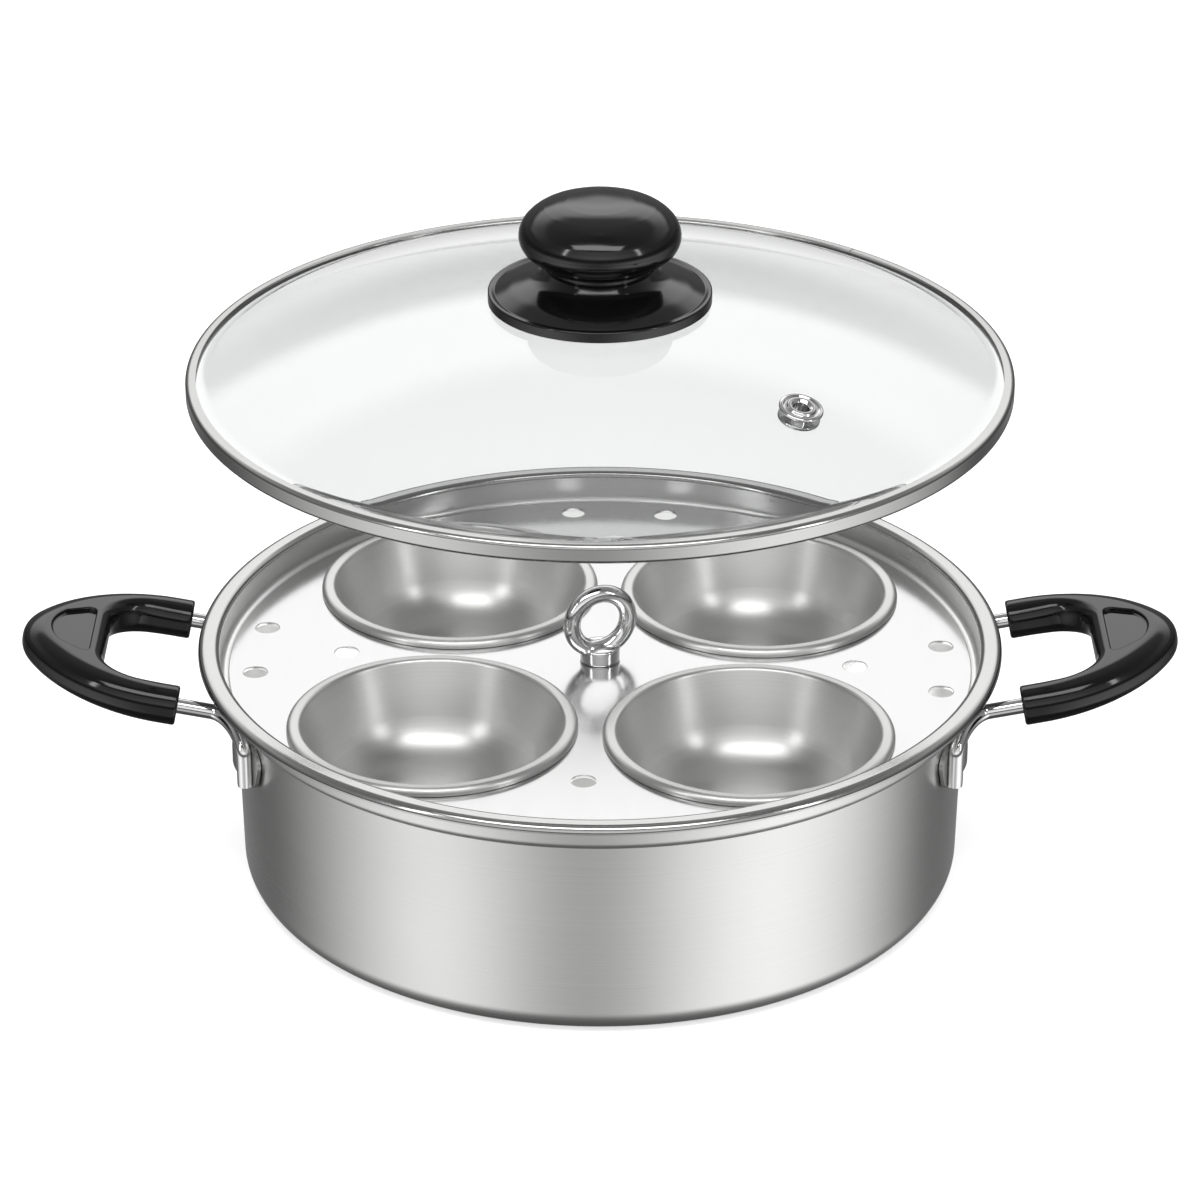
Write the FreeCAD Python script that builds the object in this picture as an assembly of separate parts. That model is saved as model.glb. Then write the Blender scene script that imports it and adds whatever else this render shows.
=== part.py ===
import FreeCAD, Part
import math
import os

os.makedirs("parts", exist_ok=True)

V = FreeCAD.Vector
ORIGIN = V(0, 0, 0)
UP = V(0, 0, 1)

# Sizes are millimetres. Z is up, the origin is the middle of the pan's underside, and the handles lie along X.

# Pan: one drawn sheet with a ledge for the insert, a collar above it and a rounded rim
pan_sheet = 0.8
pan_wall_r = 120.4
pan_wall_taper = 1.6
pan_height = 82.0
pan_base_corner_r = 8.0
ledge_depth = 11.0
ledge_width = 5.4
ledge_bend_r = 0.4
collar_corner_r = 2.8
collar_bend_r = 1.2
rim_width = 6.2
rim_drop = 2.6
rim_round_r = 1.6

# Handle rods: bent steel, from a blind bore in the grip down to the pan's wall
rod_r = 2.5
rod_bore_depth = 16.0
rod_end_gap = 1.0
rod_bore_clearance = 0.05
rod_straight = 11.0
rod_bend_reach = 6.0
rod_bend_rise = 6.5
rod_leg_drop = 9.6
rod_leg_length = 10.8
rod_leg_angle = 22.0

# Weld plates: a pressed leaf under each rod leg, with a bulge on its inner wing
plate_sheet = 1.2
plate_wall_gap = 0.04
plate_weld_bite = 0.4
plate_groove_clearance = 0.03
plate_wing = 17.0
plate_ear = 6.6
plate_height = 16.0
plate_foot_drop = 1.5
plate_outline_shares = [(0.15, 0.0), (0.55, 0.12), (1.0, 0.48), (0.86, 0.8), (0.4, 0.98)]
plate_ear_outline_shares = [(-0.4, 0.98), (-1.0, 0.7), (-0.8, 0.4), (-0.35, 0.1)]
bulge_r = 8.0
bulge_height = 2.6
bulge_length = 5.0
bulge_place_shares = (0.58, 0.34)

# Grips: moulded bow with two arms, tilted up away from the pan
grip_gap = 5.0
grip_drop = 11.0
grip_tilt = 11.0
grip_thick = 12.6
grip_round_r = 5.7
grip_end_round_r = 0.9
arm_width = 12.4
arm_middle = 31.0
arm_straight = 6.0
bow_stretch = 10.8
bow_nose_r = 22.0
bow_width = 27.9
finger_corner_r = 13.0
pocket_depth = 1.2
pocket_finger_margin = 4.0
pocket_nose_margin = 9.0
pocket_half = 16.5
pocket_corner_r = 2.0
socket_r = 3.5
socket_depth = 1.6

# Insert: flat plate on the ledge, four cup holes and four groups of steam holes
tray_sheet = 1.0
tray_edge_clearance = 0.6
tray_edge_round_r = 0.35
tray_seat_gap = 0.05
insert_angle = -3.5
steam_r = 4.0
steam_edge = 8.9
steam_ring_gap = 29.5
steam_pair_half = 16.2
cup_count = 4

# Cups: drawn bowl with a rolled rim that hangs on the plate
cup_sheet = 0.6
cup_gap = 7.9
cup_edge_margin = 3.7
cup_rim_height = 2.6
cup_rim_width = 4.0
cup_depth = 30.0
cup_wall_lean = 10.0
cup_corner_r = 18.0
cup_bend_r = 0.8
cup_rim_round_r = 1.4
cup_seat_gap = 0.2
cup_hole_clearance = 1.0

# Lifting eye: cast ring on a round collar, threaded through the plate
eye_ring_r = 9.9
eye_wire_r = 2.9
eye_height = 14.1
eye_angle = 25.5
eye_collar_r = 6.6
eye_collar_height = 5.3
eye_collar_chamfer = 0.5
eye_shank_r = 3.0
eye_shank_clearance = 0.2
eye_shank_tail = 2.5
eye_nut_flats = 10.0
eye_nut_height = 5.0
eye_washer_r = 8.0
eye_washer_height = 1.2
thread_clearance = 0.05

# Lid: domed glass in a folded steel band, held up level above the pan
lid_raise = 89.0
lid_seat_gap = 0.3
lid_overhang = 0.5
band_sheet = 0.7
band_lip = 3.4
band_round_r = 1.5
band_glass_gap = 0.1
band_seam = 0.4
band_seam_angle = 49.0
band_sectors = 24
glass_thick = 4.6
glass_flange = 4.6
glass_rise = 26.0
glass_bend_r = 8.0
glass_edge_clearance = 0.3
glass_edge_round_r = 1.0

# Knob: turned moulding in two pieces, clamped through the glass by one screw
skirt_r = 35.7
skirt_edge = 3.4
skirt_height = 11.2
skirt_bottom_sink = 1.0
skirt_glass_gap = 0.1
skirt_ridge = 1.1
neck_r = 17.6
neck_groove = 0.7
head_r = 25.8
head_height = 22.0
head_shares = [(0.0, 1.0, 0.0), (0.271, 1.0, 3.1), (0.558, 0.968, 1.04), (0.822, 0.8545, 0.57),
               (1.0, 0.618, 0.318), (1.0, 0.364, 0.248), (0.86, 0.182, 0.42)]
head_neck_round_share = 0.06
head_under_share = 0.1
knob_joint_gap = 0.05
screw_r = 2.5
screw_head_r = 4.8
screw_head_height = 2.6
screw_slot = 1.2
screw_slot_depth = 1.2
screw_reach = 9.0
knob_bore_clearance = 0.4
nut_insert_r = 4.6
nut_insert_length = 12.0
nut_insert_collar_r = 5.8
nut_insert_collar = 1.4
washer_r = 11.0
washer_height = 1.0
gasket_r = 10.0
gasket_height = 1.4

# Steam vent: riveted eyelet in the glass with a ring under it
vent_place = (61.6, -63.0)
vent_tube_r = 3.5
vent_hole_r = 2.5
vent_flange_r = 7.0
vent_flange_height = 1.7
vent_flange_round_r = 0.8
vent_glass_gap = 0.15
vent_ring_r = 6.6
vent_ring_height = 1.1
vent_tail = 1.0

# Cuts run past the faces they leave by this much
overrun = 2.0
hair = 1e-6

# Places worked out from the sizes above
ledge_top = pan_height - ledge_depth
ledge_under = ledge_top - pan_sheet
collar_r = pan_wall_r + ledge_width
rim_r = collar_r + rim_width
tray_r = collar_r - collar_corner_r - tray_edge_clearance
tray_z = ledge_top + tray_seat_gap
tray_top = tray_z + tray_sheet
steam_outer_ring_r = tray_r - steam_edge
steam_inner_ring_r = steam_outer_ring_r - steam_ring_gap
cup_rim_r = (tray_r - cup_edge_margin - cup_gap / math.sqrt(2)) / (1 + math.sqrt(2))
cup_pitch = 2 * cup_rim_r + cup_gap
cup_mouth_r = cup_rim_r - cup_rim_width
cup_hole_r = cup_mouth_r - cup_bend_r + cup_hole_clearance
arm_end_x = rim_r + grip_gap
arm_end_z = pan_height - grip_drop
bow_reach = arm_straight + arm_middle + arm_width / 2 + bow_stretch
finger_reach = bow_reach - bow_width
pocket_start = finger_reach + pocket_finger_margin
pocket_reach = bow_reach - pocket_nose_margin
leg_r = pan_wall_r + plate_wall_gap + plate_sheet + rod_r - plate_weld_bite
leg_top = ledge_under - rod_leg_drop
leg_foot = leg_top - rod_leg_length
lid_r = rim_r + lid_overhang
lid_z = pan_height + lid_seat_gap + lid_raise
band_height = glass_thick + 2 * (band_sheet + band_glass_gap)
glass_low = lid_z + band_sheet + band_glass_gap
glass_top = glass_low + glass_thick
glass_r = lid_r - band_sheet - glass_edge_clearance
dome_r = glass_r - glass_flange
dome_sphere_r = (dome_r ** 2 + glass_rise ** 2) / (2 * glass_rise)
dome_centre = glass_top + glass_rise - dome_sphere_r
dome_inner_r = dome_sphere_r - glass_thick
screw_hole_r = screw_r + knob_bore_clearance


def turned_point(point):
    """A profile point (radius, height, ...) in the XZ plane."""
    return V(point[0], 0, point[1])


def line(start, end):
    return Part.makeLine(start, end)


def rounded_edges(path, place):
    """Edges of an open path of (a, b, corner radius), its corners rounded by arcs."""
    edges = []
    cursor = place(path[0])
    for before, corner, after in zip(path, path[1:], path[2:]):
        middle = place(corner)
        towards = (place(before) - middle).normalize()
        away = (place(after) - middle).normalize()
        if corner[2] > 0:
            half = towards.getAngle(away) / 2
            reach = corner[2] / math.tan(half)
            start = middle + towards * reach
            end = middle + away * reach
            bisector = (towards + away).normalize()
            top = middle + bisector * (corner[2] / math.sin(half) - corner[2])
            if (start - cursor).Length > hair:
                edges.append(line(cursor, start))
            edges.append(Part.Arc(start, top, end).toShape())
            cursor = end
        else:
            edges.append(line(cursor, middle))
            cursor = middle
    last = place(path[-1])
    if (last - cursor).Length > hair:
        edges.append(line(cursor, last))
    return edges


def offset_path(path, thickness):
    """The same path moved to its left by the thickness, with its corner radii to match."""
    normals = []
    for start, end in zip(path, path[1:]):
        run = math.hypot(end[0] - start[0], end[1] - start[1])
        normals.append(((start[1] - end[1]) / run, (end[0] - start[0]) / run))
    moved = [(path[0][0] + normals[0][0] * thickness, path[0][1] + normals[0][1] * thickness, 0)]
    for corner, before, after in zip(path[1:], normals, normals[1:]):
        scale = thickness / (1 + before[0] * after[0] + before[1] * after[1])
        left_turn = before[0] * after[1] - before[1] * after[0] > 0
        radius = corner[2] - thickness if left_turn else corner[2] + thickness
        moved.append((corner[0] + (before[0] + after[0]) * scale,
                      corner[1] + (before[1] + after[1]) * scale, max(radius, 0)))
    end_normal = normals[-1]
    moved.append((path[-1][0] + end_normal[0] * thickness, path[-1][1] + end_normal[1] * thickness, 0))
    return moved


def revolved(edges, degrees=360):
    """A closed profile turned about Z."""
    face = Part.Face(Part.Wire(edges))
    return face.revolve(ORIGIN, UP, degrees)


def sheet_ring(path, thickness, degrees=360):
    """A turned sheet part: the path is one face of the sheet, the other lies to its left."""
    there = rounded_edges(path, turned_point)
    back = rounded_edges(list(reversed(offset_path(path, thickness))), turned_point)
    first, last = turned_point(path[0]), turned_point(path[-1])
    turn, end = back[0].firstVertex(True).Point, back[-1].lastVertex(True).Point
    return revolved(there + [line(last, turn)] + back + [line(end, first)], degrees)


def turned(path):
    """A solid of revolution from a path that starts and ends on the axis."""
    edges = rounded_edges(path, turned_point)
    return revolved(edges + [line(turned_point(path[-1]), turned_point(path[0]))])


def washer(outer_r, inner_r, low, height):
    ring = Part.makeCylinder(outer_r, height, V(0, 0, low))
    return ring.cut(Part.makeCylinder(inner_r, height + 2 * overrun, V(0, 0, low - overrun)))


def ball(radius, height):
    return Part.makeSphere(radius, V(0, 0, height))


def spun(shape, degrees):
    """A copy turned about Z."""
    turned_copy = shape.copy()
    turned_copy.rotate(ORIGIN, UP, degrees)
    return turned_copy


def across(shape):
    """A copy mirrored to the other side of the XZ plane."""
    return shape.mirror(ORIGIN, V(0, 1, 0))


def pan_shell():
    under = pan_height - pan_sheet
    lip_r = rim_r - pan_sheet
    path = [(0, 0, 0), (pan_wall_r - pan_wall_taper, 0, pan_base_corner_r),
            (pan_wall_r, ledge_under, ledge_bend_r), (collar_r, ledge_under, collar_corner_r),
            (collar_r, under, collar_bend_r), (lip_r, under, rim_round_r), (lip_r, pan_height - rim_drop, 0)]
    return sheet_ring(path, pan_sheet)


def arm_direction():
    """The way an arm of the right-hand grip points, out and up."""
    tilt = math.radians(grip_tilt)
    return V(math.cos(tilt), 0, math.sin(tilt))


def handle_rod(radius, bottom_extra):
    """The front rod of the right-hand handle, as a round bar of this radius."""
    out = arm_direction()
    angle = math.radians(rod_leg_angle)
    arm_end = V(arm_end_x, -arm_middle, arm_end_z)
    start = arm_end + out * (rod_bore_depth - rod_end_gap)
    bend_start = arm_end - out * rod_straight
    bend_end = V(leg_r * math.cos(angle), -leg_r * math.sin(angle), leg_top)
    foot = bend_end - UP * (rod_leg_length + bottom_extra)
    bend = Part.BezierCurve()
    bend.setPoles([bend_start, bend_start - out * rod_bend_reach, bend_end + UP * rod_bend_rise, bend_end])
    spine = Part.Wire([line(start, bend_start), bend.toShape(), line(bend_end, foot)])
    section = Part.Wire(Part.makeCircle(radius, start, out * -1))
    return spine.makePipeShell([section], True, False)


def weld_plate():
    """The front plate of the right-hand handle, pressed to the pan's wall."""
    inner = pan_wall_r + plate_wall_gap
    angle = math.radians(rod_leg_angle)
    radial = V(math.cos(angle), -math.sin(angle), 0)
    inward = V(math.sin(angle), math.cos(angle), 0)
    foot = leg_foot - plate_foot_drop
    wing = [(s * plate_wing, foot + h * plate_height) for s, h in plate_outline_shares]
    ear = [(s * plate_ear, foot + h * plate_height) for s, h in plate_ear_outline_shares]
    points = [radial * (inner - overrun) + inward * s + UP * h for s, h in wing + ear]
    outline = Part.BSplineCurve()
    outline.interpolate(points, PeriodicFlag=True)
    prism = Part.Face(Part.Wire(outline.toShape())).extrude(radial * (2 * overrun + bulge_r))
    shell = washer(inner + plate_sheet, inner, foot - overrun, plate_height + 2 * overrun)
    low = foot + bulge_place_shares[1] * plate_height
    middle = radial * (inner + plate_sheet + bulge_height - bulge_r) + inward * (bulge_place_shares[0] * plate_wing)
    capsule = Part.makeCylinder(bulge_r, bulge_length, middle + UP * low)
    for end in (low, low + bulge_length):
        capsule = capsule.fuse(Part.makeSphere(bulge_r, middle + UP * end))
    hollow = Part.makeCylinder(inner, plate_height + 2 * overrun + 2 * bulge_r, V(0, 0, foot - overrun - bulge_r))
    plate = shell.fuse(capsule).cut(hollow).common(prism)
    return plate.cut(handle_rod(rod_r + plate_groove_clearance, plate_foot_drop + overrun)).removeSplitter()


def grip_outline():
    """The grip seen from above, in its own plane: u runs out from the arm ends, v across."""
    outer = arm_middle + arm_width / 2
    inner = arm_middle - arm_width / 2
    nose_u = bow_reach - bow_nose_r
    span = nose_u - arm_straight
    bow_side_r = (span ** 2 + outer ** 2 - bow_nose_r ** 2) / (2 * (outer - bow_nose_r))
    side_v = outer - bow_side_r
    meet = V(span, -side_v, 0).normalize()
    join = V(nose_u, 0, 0) + meet * bow_nose_r
    swing = math.atan2(meet.y, meet.x)
    half_way = (math.pi / 2 + swing) / 2
    side_top = V(arm_straight, side_v, 0) + V(math.cos(half_way), math.sin(half_way), 0) * bow_side_r

    def mirrored(point):
        return V(point.x, -point.y, 0)

    side_start = V(arm_straight, outer, 0)
    edges = [line(V(0, outer, 0), side_start), Part.Arc(side_start, side_top, join).toShape(),
             Part.Arc(join, V(bow_reach, 0, 0), mirrored(join)).toShape(),
             Part.Arc(mirrored(join), mirrored(side_top), mirrored(side_start)).toShape(),
             line(mirrored(side_start), V(0, -outer, 0)), line(V(0, -outer, 0), V(0, -inner, 0))]
    finger = [(0, -inner, 0), (finger_reach, -inner, finger_corner_r),
              (finger_reach, inner, finger_corner_r), (0, inner, 0)]
    edges += rounded_edges(finger, lambda p: V(p[0], p[1], 0))
    return edges + [line(V(0, inner, 0), V(0, outer, 0))]


def grip_pocket():
    """The plain sunk panel on the bow: straight towards the fingers, round towards the nose."""
    low = V(0, 0, grip_thick / 2 - pocket_depth)
    corners = [V(pocket_start, -pocket_half, 0), V(pocket_start, pocket_half, 0)]
    arc = Part.Arc(corners[1], V(pocket_reach, 0, 0), corners[0]).toShape()
    face = Part.Face(Part.Wire([line(*corners), arc]))
    panel = face.extrude(V(0, 0, pocket_depth + overrun))
    upright = [e for e in panel.Edges if abs(e.firstVertex().Z - e.lastVertex().Z) > pocket_depth]
    panel = panel.makeFillet(pocket_corner_r, upright)
    panel.translate(low)
    return panel


def handle_grip():
    """The right-hand grip."""
    slab = Part.Face(Part.Wire(grip_outline())).extrude(V(0, 0, grip_thick))
    slab.translate(V(0, 0, -grip_thick / 2))
    rims = []
    for edge in slab.Edges:
        flat = abs(edge.BoundBox.ZLength) < hair
        if flat and edge.BoundBox.XMax > hair:
            rims.append(edge)
    grip = slab.makeFillet(grip_round_r, rims)
    ends = [edge for edge in grip.Edges if edge.BoundBox.XMax < hair]
    grip = grip.makeFillet(grip_end_round_r, ends)
    grip = grip.cut(grip_pocket())
    for side in (-arm_middle, arm_middle):
        mouth = V(0, side, 0)
        grip = grip.cut(Part.makeCylinder(rod_r + rod_bore_clearance, rod_bore_depth, mouth, V(1, 0, 0)))
        grip = grip.cut(Part.makeCylinder(socket_r, socket_depth, mouth, V(1, 0, 0)))
    grip.rotate(ORIGIN, V(0, 1, 0), -grip_tilt)
    grip.translate(V(arm_end_x, 0, arm_end_z))
    return grip


def cup_centres():
    """Cup middles in the insert's own frame, one to each quarter."""
    half = cup_pitch / 2
    return {"front_left": V(-half, -half, 0), "front_right": V(half, -half, 0),
            "back_left": V(-half, half, 0), "back_right": V(half, half, 0)}


def insert_tray():
    plate = Part.makeCylinder(tray_r, tray_sheet, V(0, 0, tray_z))
    plate = plate.makeFillet(tray_edge_round_r, [e for e in plate.Edges if len(e.Vertexes) == 1])
    deep = tray_sheet + 2 * overrun
    low = tray_z - overrun
    cuts = [Part.makeCylinder(eye_shank_r + eye_shank_clearance, deep, V(0, 0, low))]
    for centre in cup_centres().values():
        cuts.append(Part.makeCylinder(cup_hole_r, deep, centre + UP * low))
    places = [V(steam_inner_ring_r, 0, low)]
    outer = math.sqrt(steam_outer_ring_r ** 2 - steam_pair_half ** 2)
    places += [V(outer, -steam_pair_half, low), V(outer, steam_pair_half, low)]
    for group in range(cup_count):
        for place in places:
            cuts.append(spun(Part.makeCylinder(steam_r, deep, place), group * 360 / cup_count))
    return spun(plate.cut(cuts), insert_angle)


def egg_cup(centre):
    bottom = cup_rim_height - cup_depth
    under = cup_rim_height - cup_sheet
    lip_r = cup_rim_r - cup_sheet
    path = [(0, bottom, 0), (cup_mouth_r - cup_wall_lean, bottom, cup_corner_r),
            (cup_mouth_r, under, cup_bend_r), (lip_r, under, cup_rim_round_r), (lip_r, cup_seat_gap, 0)]
    cup = sheet_ring(path, cup_sheet)
    cup.translate(centre + UP * tray_top)
    return spun(cup, insert_angle)


def lift_eye():
    ring = Part.makeTorus(eye_ring_r, eye_wire_r, V(0, 0, tray_top + eye_height), V(0, 1, 0))
    collar = Part.makeCylinder(eye_collar_r, eye_collar_height, V(0, 0, tray_top))
    collar = collar.makeChamfer(eye_collar_chamfer, [e for e in collar.Edges if len(e.Vertexes) == 1])
    tail = tray_sheet + eye_washer_height + eye_nut_height + eye_shank_tail
    shank = Part.makeCylinder(eye_shank_r, tail + eye_collar_height / 2, V(0, 0, tray_top - tail))
    eye = ring.fuse([collar, shank]).removeSplitter()
    below = Part.makeCylinder(eye_ring_r + eye_wire_r, eye_ring_r, V(0, 0, tray_top - eye_ring_r))
    bolt = eye.cut(below.cut(shank))
    return spun(bolt, eye_angle + insert_angle)


def lift_eye_washer():
    low = tray_z - eye_washer_height
    return spun(washer(eye_washer_r, eye_shank_r + eye_shank_clearance, low, eye_washer_height), insert_angle)


def lift_eye_nut():
    low = tray_z - eye_washer_height - eye_nut_height
    corner_r = eye_nut_flats / math.sqrt(3)
    corners = [spun(Part.Vertex(corner_r, 0, low), side * 60).Point for side in range(6)]
    prism = Part.Face(Part.makePolygon(corners + corners[:1])).extrude(V(0, 0, eye_nut_height))
    crown = turned([(0, low, 0), (eye_nut_flats / 2, low, 0), (corner_r, low + corner_r - eye_nut_flats / 2, 0),
                    (corner_r, low + eye_nut_height, 0), (0, low + eye_nut_height, 0)])
    bore = Part.makeCylinder(eye_shank_r + thread_clearance, eye_nut_height + 2 * overrun, V(0, 0, low - overrun))
    return spun(prism.common(crown).cut(bore), insert_angle)


def vent_direction():
    """The dome's outward direction at the vent, and the point on its top face there."""
    across_r = math.hypot(*vent_place)
    rise = math.sqrt(dome_sphere_r ** 2 - across_r ** 2)
    out = V(vent_place[0], vent_place[1], rise).normalize()
    return out, V(vent_place[0], vent_place[1], dome_centre + rise)


def on_vent(shape):
    """Sets a piece turned about Z, with its zero on the glass, at the vent."""
    out, seat = vent_direction()
    placed = shape.copy()
    placed.Placement = FreeCAD.Placement(seat, FreeCAD.Rotation(UP, out)).multiply(placed.Placement)
    return placed


def lid_glass():
    flange_r = math.sqrt(dome_inner_r ** 2 - (glass_low - dome_centre) ** 2)
    apex, inner_apex = dome_centre + dome_sphere_r, dome_centre + dome_inner_r
    outer_lean = math.asin(dome_r / dome_sphere_r) / 2
    inner_lean = math.asin(flange_r / dome_inner_r) / 2

    def on_dome(radius, lean):
        return V(radius * math.sin(lean), 0, dome_centre + radius * math.cos(lean))

    bend_top, bend_low = V(dome_r, 0, glass_top), V(flange_r, 0, glass_low)
    rim_top, rim_low = V(glass_r, 0, glass_top), V(glass_r, 0, glass_low)
    edges = [Part.Arc(V(0, 0, apex), on_dome(dome_sphere_r, outer_lean), bend_top).toShape(),
             line(bend_top, rim_top), line(rim_top, rim_low), line(rim_low, bend_low),
             Part.Arc(bend_low, on_dome(dome_inner_r, inner_lean), V(0, 0, inner_apex)).toShape(),
             line(V(0, 0, inner_apex), V(0, 0, apex))]
    glass = revolved(edges)
    bends = [e for e in glass.Edges if len(e.Vertexes) == 1 and e.BoundBox.XMax < glass_r - hair]
    glass = glass.makeFillet(glass_bend_r, bends)
    rims = [e for e in glass.Edges if len(e.Vertexes) == 1 and e.BoundBox.XMax > glass_r - hair]
    glass = glass.makeFillet(glass_edge_round_r, rims)
    screw_hole = Part.makeCylinder(screw_hole_r, glass_thick + 2 * overrun, V(0, 0, inner_apex - overrun))
    vent_bore = Part.makeCylinder(vent_tube_r + vent_glass_gap, glass_thick + 2 * overrun,
                                  V(0, 0, -glass_thick - overrun))
    return glass.cut([screw_hole, on_vent(vent_bore)])


def lid_band():
    top = lid_z + band_height
    path = [(lid_r - band_lip, lid_z, 0), (lid_r, lid_z, band_round_r), (lid_r, top, band_round_r),
            (lid_r - band_lip, top, 0)]
    seam = math.degrees(band_seam / lid_r)
    sweep = (360 - seam) / band_sectors
    sector = spun(sheet_ring(path, band_sheet, sweep), band_seam_angle + seam / 2)
    return sector.fuse([spun(sector, turn * sweep) for turn in range(1, band_sectors)])


def skirt_seat():
    """Height of the skirt's underside: where its edge meets the dome."""
    return dome_centre + math.sqrt(dome_sphere_r ** 2 - skirt_r ** 2) + skirt_glass_gap


def knob_skirt():
    seat = skirt_seat()
    edge_top, top = seat + skirt_edge, seat + skirt_height
    climb = skirt_height - skirt_edge
    reach = skirt_r - neck_r
    flare_shares = [(0.62, 0.24, 0.9), (0.14, 0.58, 0.35)]
    flare = [(neck_r + r * reach, edge_top + h * climb, a * reach) for r, h, a in flare_shares]
    path = [(0, seat - skirt_bottom_sink, 0), (skirt_r, seat - skirt_bottom_sink, 0),
            (skirt_r, edge_top, skirt_ridge / 2), (skirt_r - skirt_ridge, edge_top, skirt_ridge / 3),
            (skirt_r - 2 * skirt_ridge, edge_top - skirt_ridge / 4, skirt_ridge / 3)]
    path += flare + [(neck_r, top, neck_groove / 2), (0, top, 0)]
    skirt = turned(path)
    skirt = skirt.cut(ball(dome_sphere_r + skirt_glass_gap, dome_centre))
    bore = Part.makeCylinder(screw_hole_r, skirt_height + skirt_r, V(0, 0, seat - skirt_bottom_sink))
    return skirt.cut(bore)


def knob_base():
    return skirt_seat() + skirt_height + knob_joint_gap


def knob_head():
    base = knob_base()
    path = [(r * head_r, base + h * head_height, a * head_r) for r, h, a in head_shares]
    waist_r = neck_r - neck_groove
    path += [(waist_r, base + head_under_share * head_height, head_neck_round_share * head_r), (waist_r, base, 0),
             (0, base, 0)]
    head = turned(path)
    insert = Part.makeCylinder(nut_insert_r, nut_insert_length, V(0, 0, base))
    collar = Part.makeCylinder(nut_insert_collar_r, nut_insert_collar, V(0, 0, base))
    return head.cut([insert, collar])


def knob_insert():
    base = knob_base()
    barrel = Part.makeCylinder(nut_insert_r - knob_joint_gap, nut_insert_length - knob_joint_gap, V(0, 0, base))
    collar = Part.makeCylinder(nut_insert_collar_r - knob_joint_gap, nut_insert_collar - knob_joint_gap,
                               V(0, 0, base))
    bore = Part.makeCylinder(screw_r + thread_clearance, screw_reach + knob_joint_gap, V(0, 0, base))
    return barrel.fuse(collar).cut(bore).removeSplitter()


def gasket_low():
    return dome_centre + math.sqrt(dome_inner_r ** 2 - gasket_r ** 2) - gasket_height


def knob_gasket():
    """Soft ring under the glass: flat below, fitted to the dome above."""
    low = gasket_low()
    ring = washer(gasket_r, screw_hole_r, low, gasket_height + gasket_r)
    return ring.common(ball(dome_inner_r - knob_joint_gap, dome_centre))


def knob_washer():
    return washer(washer_r, screw_hole_r, gasket_low() - washer_height, washer_height)


def knob_screw():
    seat = gasket_low() - washer_height
    length = knob_base() + screw_reach - seat
    shank = Part.makeCylinder(screw_r, length, V(0, 0, seat))
    low = seat - screw_head_height
    head = turned([(0, low, 0), (screw_head_r, low, screw_head_height / 2), (screw_head_r, seat, 0), (0, seat, 0)])
    for degrees in (0, 90):
        slot = Part.makeBox(screw_head_r * 2 - screw_slot, screw_slot, screw_slot_depth + overrun,
                            V((screw_slot - screw_head_r * 2) / 2, -screw_slot / 2, low - overrun))
        head = head.cut(spun(slot, degrees))
    return shank.fuse(head).removeSplitter()


def vent_eyelet():
    low = -glass_thick - vent_ring_height - vent_tail
    path = [(0, low, 0), (vent_tube_r, low, 0), (vent_tube_r, vent_glass_gap, 0),
            (vent_flange_r, vent_glass_gap, vent_flange_round_r / 2),
            (vent_flange_r, vent_flange_height, vent_flange_round_r), (0, vent_flange_height, 0)]
    eyelet = turned(path)
    through = vent_flange_height - low + 2 * overrun
    mouth = turned([(0, vent_flange_height + hair, 0), (vent_hole_r + vent_flange_round_r, vent_flange_height + hair, 0),
                    (vent_hole_r, vent_flange_height - vent_flange_round_r, 0),
                    (0, vent_flange_height - vent_flange_round_r, 0)])
    bore = Part.makeCylinder(vent_hole_r, through, V(0, 0, low - overrun))
    return on_vent(eyelet.cut([bore, mouth]))


def vent_ring():
    low = -glass_thick - vent_ring_height - vent_glass_gap
    ring = washer(vent_ring_r, vent_tube_r + thread_clearance, low, vent_ring_height)
    outer = [e for e in ring.Edges if len(e.Vertexes) == 1 and e.Curve.Radius > vent_tube_r + vent_glass_gap]
    return on_vent(ring.makeFillet(vent_ring_height / 3, outer))


def handle_pieces():
    """Both handles: the left-hand one is the right-hand one turned half way round."""
    rod = handle_rod(rod_r, 0)
    plate = weld_plate()
    grip = handle_grip()
    pieces = {}
    for side, degrees, front, back in (("right", 0, "front", "back"), ("left", 180, "back", "front")):
        pieces["handle_grip_" + side] = spun(grip, degrees)
        for end, flip in ((front, False), (back, True)):
            pieces["handle_rod_" + side + "_" + end] = spun(across(rod) if flip else rod, degrees)
            pieces["weld_plate_" + side + "_" + end] = spun(across(plate) if flip else plate, degrees)
    return pieces


def all_pieces():
    pieces = {"pan_shell": pan_shell()}
    pieces.update(handle_pieces())
    pieces["insert_tray"] = insert_tray()
    for name, centre in cup_centres().items():
        pieces["egg_cup_" + name] = egg_cup(centre)
    for make in (lift_eye, lift_eye_washer, lift_eye_nut, lid_glass, lid_band, knob_skirt, knob_head,
                 knob_insert, knob_gasket, knob_washer, knob_screw, vent_eyelet, vent_ring):
        pieces[make.__name__] = make()
    return pieces


for node, shape in all_pieces().items():
    if not shape.isValid() or len(shape.Solids) != 1:
        raise ValueError(node + " is not one sound solid")
    shape.Solids[0].exportStep("parts/" + node + ".step")
    print(node, "volume", round(shape.Volume), "mm3")
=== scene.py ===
import math

import bmesh
import bpy
from bpy.props import FloatProperty, FloatVectorProperty, PointerProperty
from mathutils import Matrix, Vector
from mathutils.geometry import interpolate_bezier


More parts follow.
